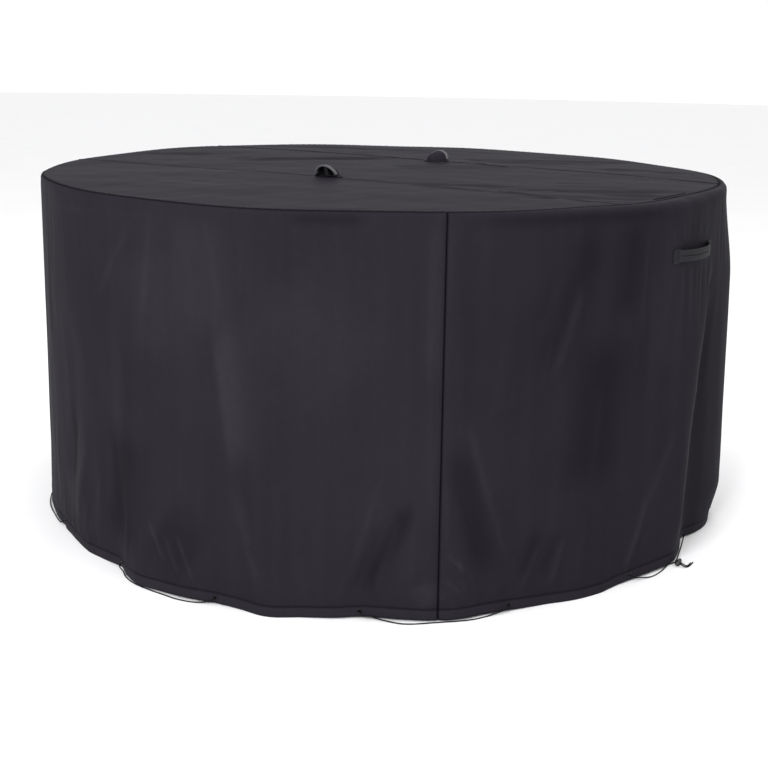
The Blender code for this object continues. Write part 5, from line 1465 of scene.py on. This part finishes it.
def build_binding(vent, finish):
    """The tape folded over the edge of the mouth."""
    out = GAP + BINDING_CLOTH
    profile = (
        (GAP, BINDING_DEPTH), (out, BINDING_DEPTH), (out * 1.1, BINDING_DEPTH * 0.5), (out, -out),
        (-CLOTH - out, -out), (-CLOTH - out, BINDING_DEPTH), (-CLOTH - GAP, BINDING_DEPTH),
        (-CLOTH - GAP, -GAP), (GAP, -GAP),
    )
    profile = rounded_profile(profile, 0.0008, 3)
    grow, back = np.array(profile).T
    theta = np.radians(np.linspace(14.0, 166.0, 70))[:, None]
    swell = hood_swell(back)
    x = (VENT_HALF_WIDTH * swell + grow) * np.cos(theta)
    z = (VENT_RISE * swell + grow) * np.sin(theta)
    points = grid_of(x, leant(back[None], z), z)
    flat = grid_of(theta * VENT_RISE, np.linspace(0, 0.02, len(profile))[None])
    name = vent.name + "_binding_tape"
    return loft_of(name, placed(vent_frame(vent), points), flat, finish, sharp_above=70.0)


PROP_WIDTH = 0.010
PROP_BACK = 0.004


def build_prop(vent, finish):
    """The strap that stands in the mouth and holds it open, bent flat at its foot."""
    top, thick, foot = VENT_RISE * 0.93 - CLOTH - 0.0006, 0.0015, 0.010
    face = rounded_profile(((foot, thick), (thick, thick), (thick, top)), 0.0030, 8)
    rear = rounded_profile(((0.0, top), (0.0, 0.0), (foot, 0.0)), 0.0042, 8)
    outline = np.array(face + rear)
    across = np.linspace(-PROP_WIDTH / 2, PROP_WIDTH / 2, 9)
    bow = 0.0004 * (1 - (across / across[-1]) ** 2)
    back, up = outline.T
    shapes = [grid_of(x, leant(PROP_BACK + back - dip, up), up) for x, dip in zip(across, bow)]
    sections = [placed(vent_frame(vent), shape) for shape in shapes]
    lengths = np.linspace(0.0, 2 * (foot + top), len(outline))
    flat = grid_of(lengths[None], across[:, None])
    return loft_of(vent.name + "_prop_strap", sections, flat, finish)


# ---- handles

HANDLE_STATIONS = 90
GRIP_GROOVE, GRIP_GROOVE_WIDTH = 0.0026, 0.0022
TAB_GAP = 0.0004  # between a handle's tab and the cloth
GRIP_START, TAB_FREE, TAB_FADE = 0.10, 0.06, 0.006  # the first two as shares of the free length


def handle_base(angle, along):
    """The cloth's outer face under a handle, along metres to its right, and the way out of it there."""
    at = angle + along / ARC
    out = outward(at)
    run = DROP - HANDLE_HEIGHT
    half = HANDLE_WIDTH / 2
    seats = [cover_point(at + turn, run + shift) @ out for turn in (-1, 0, 1) for shift in (-half, 0, half)]
    base = cover_point(at, run)
    return base + out * (max(seats) - base @ out), out


def handle_shape(along):
    """A handle, along metres from its middle: how far out, how wide, how thick, and how much a grip."""
    free = min(1.0, abs(along) / (HANDLE_LENGTH / 2 - HANDLE_TAB_LENGTH))
    gripped = float(smooth_step((1 - free) / GRIP_START))
    lifted = float(smooth_step((1 - free) / TAB_FREE))
    stand = HANDLE_SEAT + HANDLE_STAND * (1 - free**HANDLE_BOW) * lifted
    width = HANDLE_WIDTH + (HANDLE_GRIP_WIDTH - HANDLE_WIDTH) * gripped
    thick = HANDLE_TAB + (HANDLE_GRIP - HANDLE_TAB) * gripped
    return stand, width, thick, gripped


def handle_outline(width, thick, gripped):
    """A strap's section, as (up, out): flat in a tab, its edges folded in to meet at the middle in a grip."""
    half = width / 2
    round_off = thick * 0.5
    turns = np.linspace(0, pi / 2, 5)
    back = [(-half + round_off, 0.0), (0.0, 0.0), (half - round_off, 0.0)]
    edge, side = half - round_off, thick - round_off
    upper = [(edge + round_off * np.sin(t), round_off - round_off * np.cos(t)) for t in turns[1:]]
    upper += [(edge + round_off * np.cos(t), side + round_off * np.sin(t)) for t in turns[1:]]
    crown = 0.0004 * gripped
    lip = GRIP_GROOVE_WIDTH / 2
    groove = GRIP_GROOVE * gripped
    face = [(half * 0.62, thick), (half * 0.34, thick + crown), (lip * 2.2, thick + crown * 0.6)]
    face.append((lip, thick - 0.25 * groove))
    outline = back + upper + face + [(0.0, thick - groove)]
    mirrored = [(-up, out) for up, out in reversed(upper + face)]
    return np.array(outline + mirrored)


def build_handle(node, angle, finish):
    sections, flat = [], []
    for along in np.linspace(-HANDLE_LENGTH / 2, HANDLE_LENGTH / 2, HANDLE_STATIONS):
        stand, width, thick, gripped = handle_shape(along)
        base, out = handle_base(angle, along)
        outline = handle_outline(width, thick, gripped)
        seated = 1 - float(smooth_step((stand - HANDLE_SEAT) / TAB_FADE))
        at = angle + along / ARC
        cloth = cover_point(at, DROP - HANDLE_HEIGHT - outline[:, 0])
        close = (cloth - base) @ out
        lift = seated * (close - HANDLE_SEAT + TAB_GAP)
        up = np.array([0.0, 0.0, 1.0])
        sections.append(base + outline[:, :1] * up + (outline[:, 1:] + stand + lift[:, None]) * out)
        flat.append(np.stack([np.full(len(outline), along), outline[:, 0] + 0.5 * outline[:, 1]], axis=-1))
    return loft_of(node + "_webbing", sections, np.array(flat), finish, sharp_above=60.0)


# ---- eyelets

EYELET_SEAT, EYELET_WALL, EYELET_ROUND_OFF = 0.0004, 0.0006, 0.0009
EYELET_STEPS = 36


def build_eyelet(node, angle, finish):
    """A rolled ring on the hem's face, with its barrel through the cloth."""
    depth, barrel = -(CLOTH + 0.0012), EYELET_BORE + EYELET_WALL
    profile = (
        (EYELET_BORE, depth), (EYELET_BORE, EYELET_SEAT + 0.0009),
        (EYELET_BORE + 0.0014, EYELET_SEAT + 0.0016), (EYELET_RADIUS - 0.0006, EYELET_SEAT + 0.0011),
        (EYELET_RADIUS, EYELET_SEAT + 0.0001),
        (barrel, EYELET_SEAT), (barrel, depth),
    )
    profile = np.array(rounded_profile(profile, EYELET_ROUND_OFF))
    turns = np.arange(EYELET_STEPS) * 2 * pi / EYELET_STEPS
    place = eyelet_frame(angle)
    wide, out = profile.T
    sections = [placed(place, grid_of(wide * cos(turn), wide * sin(turn), out)) for turn in turns]
    flat = np.zeros((len(turns), len(profile), 2))
    return loft_of(node + "_ring", sections, flat, finish, ring=True)


# ---- stitching

STITCH_LIFT = 0.0001
TreeInput = namedtuple("TreeInput", "name kind value")
STITCH_INPUTS = [TreeInput(*row) for row in (
    ("Rows", "NodeSocketGeometry", None), ("Pitch", "NodeSocketFloat", 0.0042),
    ("Length", "NodeSocketFloat", 0.0033), ("Thread", "NodeSocketFloat", 0.0008),
    ("Waver", "NodeSocketFloat", 0.00022), ("Seed", "NodeSocketInt", 11),
    ("Finish", "NodeSocketMaterial", None),
)]


def stitch_tree():
    """Lays one stitch at each step along its rows, lengthwise, each a little out of line."""
    tree = bpy.data.node_groups.new("stitches_along_rows", "GeometryNodeTree")
    sockets = {}
    for row in STITCH_INPUTS:
        made = tree.interface.new_socket(row.name, in_out="INPUT", socket_type=row.kind)
        sockets[row.name] = made.identifier
    tree.interface.new_socket("Stitches", in_out="OUTPUT", socket_type="NodeSocketGeometry")
    given = tree.nodes.new("NodeGroupInput").outputs

    def node(kind, settings, links, output=0):
        made = tree.nodes.new(kind)
        for key, setting in settings.items():
            setattr(made, key, setting)
        for key, value in links.items():
            if isinstance(value, bpy.types.NodeSocket):
                tree.links.new(value, made.inputs[key])
            else:
                made.inputs[key].default_value = value
        return made.outputs[output]

    path = node("GeometryNodeMeshToCurve", {}, {"Mesh": given["Rows"]})
    steps = node("GeometryNodeResampleCurve", {"mode": "LENGTH"}, {"Curve": path, "Length": given["Pitch"]})
    back = node("ShaderNodeMath", {"operation": "MULTIPLY"}, {0: given["Waver"], 1: -1.0})
    spread = {"Min": back, "Max": given["Waver"], "Seed": given["Seed"]}
    shift = node("FunctionNodeRandomValue", {"data_type": "FLOAT_VECTOR"}, spread)
    moved = node("GeometryNodeSetPosition", {}, {"Geometry": steps, "Offset": shift})
    way = node("GeometryNodeInputTangent", {}, {})
    turn = node("FunctionNodeAlignRotationToVector", {"axis": "Z"}, {"Vector": way})
    size = node("ShaderNodeCombineXYZ", {}, {0: given["Thread"], 1: given["Thread"], 2: given["Length"]})
    knot = node("GeometryNodeMeshUVSphere", {}, {"Segments": 5, "Rings": 3, "Radius": 0.5})
    smooth = node("GeometryNodeSetShadeSmooth", {}, {0: knot})
    placing = {"Points": moved, "Instance": smooth, "Rotation": turn, "Scale": size}
    sewn = node("GeometryNodeInstanceOnPoints", {}, placing)
    solid = node("GeometryNodeRealizeInstances", {}, {0: sewn})
    finished = node("GeometryNodeSetMaterial", {}, {"Geometry": solid, "Material": given["Finish"]})
    tree.links.new(finished, tree.nodes.new("NodeGroupOutput").inputs[0])
    return tree, sockets


def sew(name, rows, tree, sockets, thread):
    """Stitches along rows of places, as one plain mesh."""
    starts = np.cumsum([0] + [len(row) for row in rows])
    edges = [(start + i, start + i + 1) for start, row in zip(starts, rows) for i in range(len(row) - 1)]
    mesh = bpy.data.meshes.new(name)
    mesh.from_pydata(np.concatenate(rows).tolist(), edges, [])
    piece = linked(name, mesh)
    sewing = piece.modifiers.new("sewing", "NODES")
    sewing.node_group = tree
    for row in STITCH_INPUTS:
        if row.value is not None:
            sewing[sockets[row.name]] = row.value
    sewing[sockets["Finish"]] = thread
    settled(piece)
    piece.data.name = name
    return piece


ROW_STEP = 0.12  # degrees between the places of a row
# metres from each edge or seam, and on a handle's tab
HEM_STITCH, RIM_STITCH, SEAM_STITCH, TOP_STITCH = 0.0242, 0.0045, 0.0090, 0.0050
TAB_STITCH_UP, TAB_STITCH_NEAR, TAB_STITCH_FAR = 0.0125, 0.0030, 0.0190


def skirt_rows():
    """Where the skirt is sewn: its hem, under the rim, beside each seam, and the handles' tabs."""
    rows = []
    for start in SKIRT_SEAMS:
        angles = np.arange(start + 0.15, start + 89.9, ROW_STEP)
        rows.append(on_skirt(angles, DROP - hem_rise(angles) - HEM_STITCH))
        rows.append(on_skirt(angles, -rim_seam_in(angles) + GAP + RIM_STITCH))
        beside = start - SEAM_STITCH / ARC
        runs = np.arange(0.012, DROP - float(hem_rise(start)) - HEM_DEPTH, 0.002)
        rows.append(on_skirt(np.full(len(runs), beside), runs))
    for angle in HANDLE_ANGLES:
        for side in (1, -1):
            near, far = (side * (HANDLE_LENGTH / 2 - reach) for reach in (TAB_STITCH_NEAR, TAB_STITCH_FAR))
            up = TAB_STITCH_UP
            box = [(near, up), (near, -up), (far, -up), (far, up)]
            box += [(near, up), (far, -up), (far, up), (near, -up)]
            for (a, b), (c, d) in zip(box, box[1:]):
                shares = np.linspace(0.0, 1.0, 12)
                rows.append(np.array([on_tab(angle, a + (c - a) * s, b + (d - b) * s) for s in shares]))
    return rows


def on_skirt(angles, runs):
    face, normal = skirt_face(angles, runs)
    return face + normal * STITCH_LIFT


def on_tab(angle, along, up):
    """On the outer face of a handle's tab, which lies close to the cloth."""
    _, out = handle_base(angle, along)
    cloth = cover_point(angle + along / ARC, DROP - HANDLE_HEIGHT - up)
    return cloth + out * (TAB_GAP + HANDLE_TAB + STITCH_LIFT)


def top_rows():
    """Where the top is sewn: inside its rim, either side of each seam, and round each vent."""
    angles = np.arange(0.0, 360.1, ROW_STEP)
    radii = seam_radius(angles, RIM_STITCH)
    ways = outward(angles)
    rows = [on_top(ways[:, 0] * radii, ways[:, 1] * radii)]
    for side, vent in zip((1, -1), VENTS):
        for beside in (TOP_STITCH, -TOP_STITCH):
            across = side * (TOP_SEAM_OFFSET + beside)
            along = np.arange(-0.830, 0.8301, 0.003)
            clear = np.abs(along - side * vent.along) > VENT_HALF_WIDTH + VENT_FLANGE + 0.003
            for stretch in (along[clear & (along < 0)], along[clear & (along > 0)]):
                spots = np.outer(np.full(len(stretch), across), SEAM_WAY) + np.outer(stretch, SEAM_RUN)
                rows.append(on_top(spots[:, 0], spots[:, 1]))
    for vent in VENTS:
        place = vent_frame(vent)
        turns = np.linspace(0.0, pi, 90)
        wide, deep = VENT_HALF_WIDTH + VENT_FLANGE * 0.5, VENT_DEPTH + VENT_FLANGE * 0.5
        rows.append(placed(place, grid_of(wide * np.cos(turns), deep * np.sin(turns), CLOTH + STITCH_LIFT)))
        arch = np.radians(np.linspace(16.0, 164.0, 80))
        back = BINDING_DEPTH - 0.0016
        grow, swell = GAP + BINDING_CLOTH + STITCH_LIFT, hood_swell(back)
        height = (VENT_RISE * swell + grow) * np.sin(arch)
        wide = (VENT_HALF_WIDTH * swell + grow) * np.cos(arch)
        rows.append(placed(place, grid_of(wide, leant(back, height), height)))
    return rows


def on_top(x, y):
    face, normal = top_face(x, y)
    return face + normal * STITCH_LIFT


# ---- floor and light

FLOOR_RADIUS, FLOOR_CORNERS = 30.0, 96


def add_floor(finish):
    turns = np.arange(FLOOR_CORNERS) * 2 * pi / FLOOR_CORNERS
    ring = grid_of(FLOOR_RADIUS * np.cos(turns), FLOOR_RADIUS * np.sin(turns), GROUND)
    flat = np.zeros((FLOOR_CORNERS, 2))
    piece_of("studio_floor", ring, [tuple(range(FLOOR_CORNERS))], flat, finish)


Lamp = namedtuple("Lamp", "name place width height power")
LAMPS = (
    Lamp("overhead", (0.7, 0.2, 3.6), 3.0, 3.0, 85.0),
    Lamp("front_left", (-1.7, -4.7, 1.9), 1.8, 1.8, 245.0),
)
WORLD_LIGHT = 1.04


def add_lights():
    world = bpy.data.worlds.new("studio")
    world.use_nodes = True
    sky = world.node_tree.nodes["Background"]
    sky.inputs["Color"].default_value = (1.0, 1.0, 1.0, 1.0)
    sky.inputs["Strength"].default_value = WORLD_LIGHT
    bpy.context.scene.world = world
    for row in LAMPS:
        lamp = bpy.data.lights.new(row.name, "AREA")
        lamp.shape, lamp.size, lamp.size_y, lamp.energy = "RECTANGLE", row.width, row.height, row.power
        made = linked(row.name, lamp)
        made.location = row.place
        made.rotation_mode = "QUATERNION"
        aim = Vector((0.0, 0.0, GROUND * 0.5)) - Vector(row.place)
        made.rotation_quaternion = aim.to_track_quat("-Z", "Y")
    bpy.context.scene.view_settings.view_transform = "Standard"


# ---- all together


def stand_for(piece, node):
    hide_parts(node)
    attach(piece, "root")


def main():
    add_camera()
    cord, cloth = braided_cord(), coated_cloth()
    for node, (piece, facts) in add_cords(cord).items():
        stand_for(piece, node)
    plastic = moulded_plastic()
    barrel, button = add_lock(plastic)
    stand_for(barrel, "cord_lock_barrel")
    stand_for(button, "cord_lock_button")

    for node, start in zip(PANELS, SKIRT_SEAMS):
        step = FRONT_STEP if "front" in node else BACK_STEP
        panel = build_skirt_panel(node, start, step, cloth)
        stand_for(panel, node)
    for node, panel in build_top(cloth).items():
        stand_for(panel, node)
    # the tape's own charcoal is the dark colour; the pale colour is raised as a painted highlight, for the
    # overhead light on the tape's top edge
    tape = ribbed_webbing("binding_tape", (0.060, 0.059, 0.064), (0.120, 0.118, 0.128), 0.0012, 0.50)
    webbing = ribbed_webbing("handle_webbing", (0.008, 0.008, 0.0095), (0.022, 0.0215, 0.025), 0.0024, 0.62)
    for vent in VENTS:
        stand_for(build_hood(vent, cloth), vent.name + "_hood")
        stand_for(build_binding(vent, tape), vent.name + "_binding")
        stand_for(build_prop(vent, webbing), vent.name + "_prop")
    for node, angle in zip(("handle_right", "handle_left"), HANDLE_ANGLES):
        stand_for(build_handle(node, angle, webbing), node)
    metal = blackened_metal()
    for number, angle in enumerate(EYELET_ANGLES, 1):
        node = f"eyelet_{number:02d}"
        stand_for(build_eyelet(node, angle, metal), node)

    thread = sewing_thread()
    tree, sockets = stitch_tree()
    for name, rows in (("skirt_stitches", skirt_rows()), ("top_stitches", top_rows())):
        sewn = sew(name, rows, tree, sockets, thread)
        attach(sewn, "root")
    add_floor(studio_floor())
    add_lights()


main()
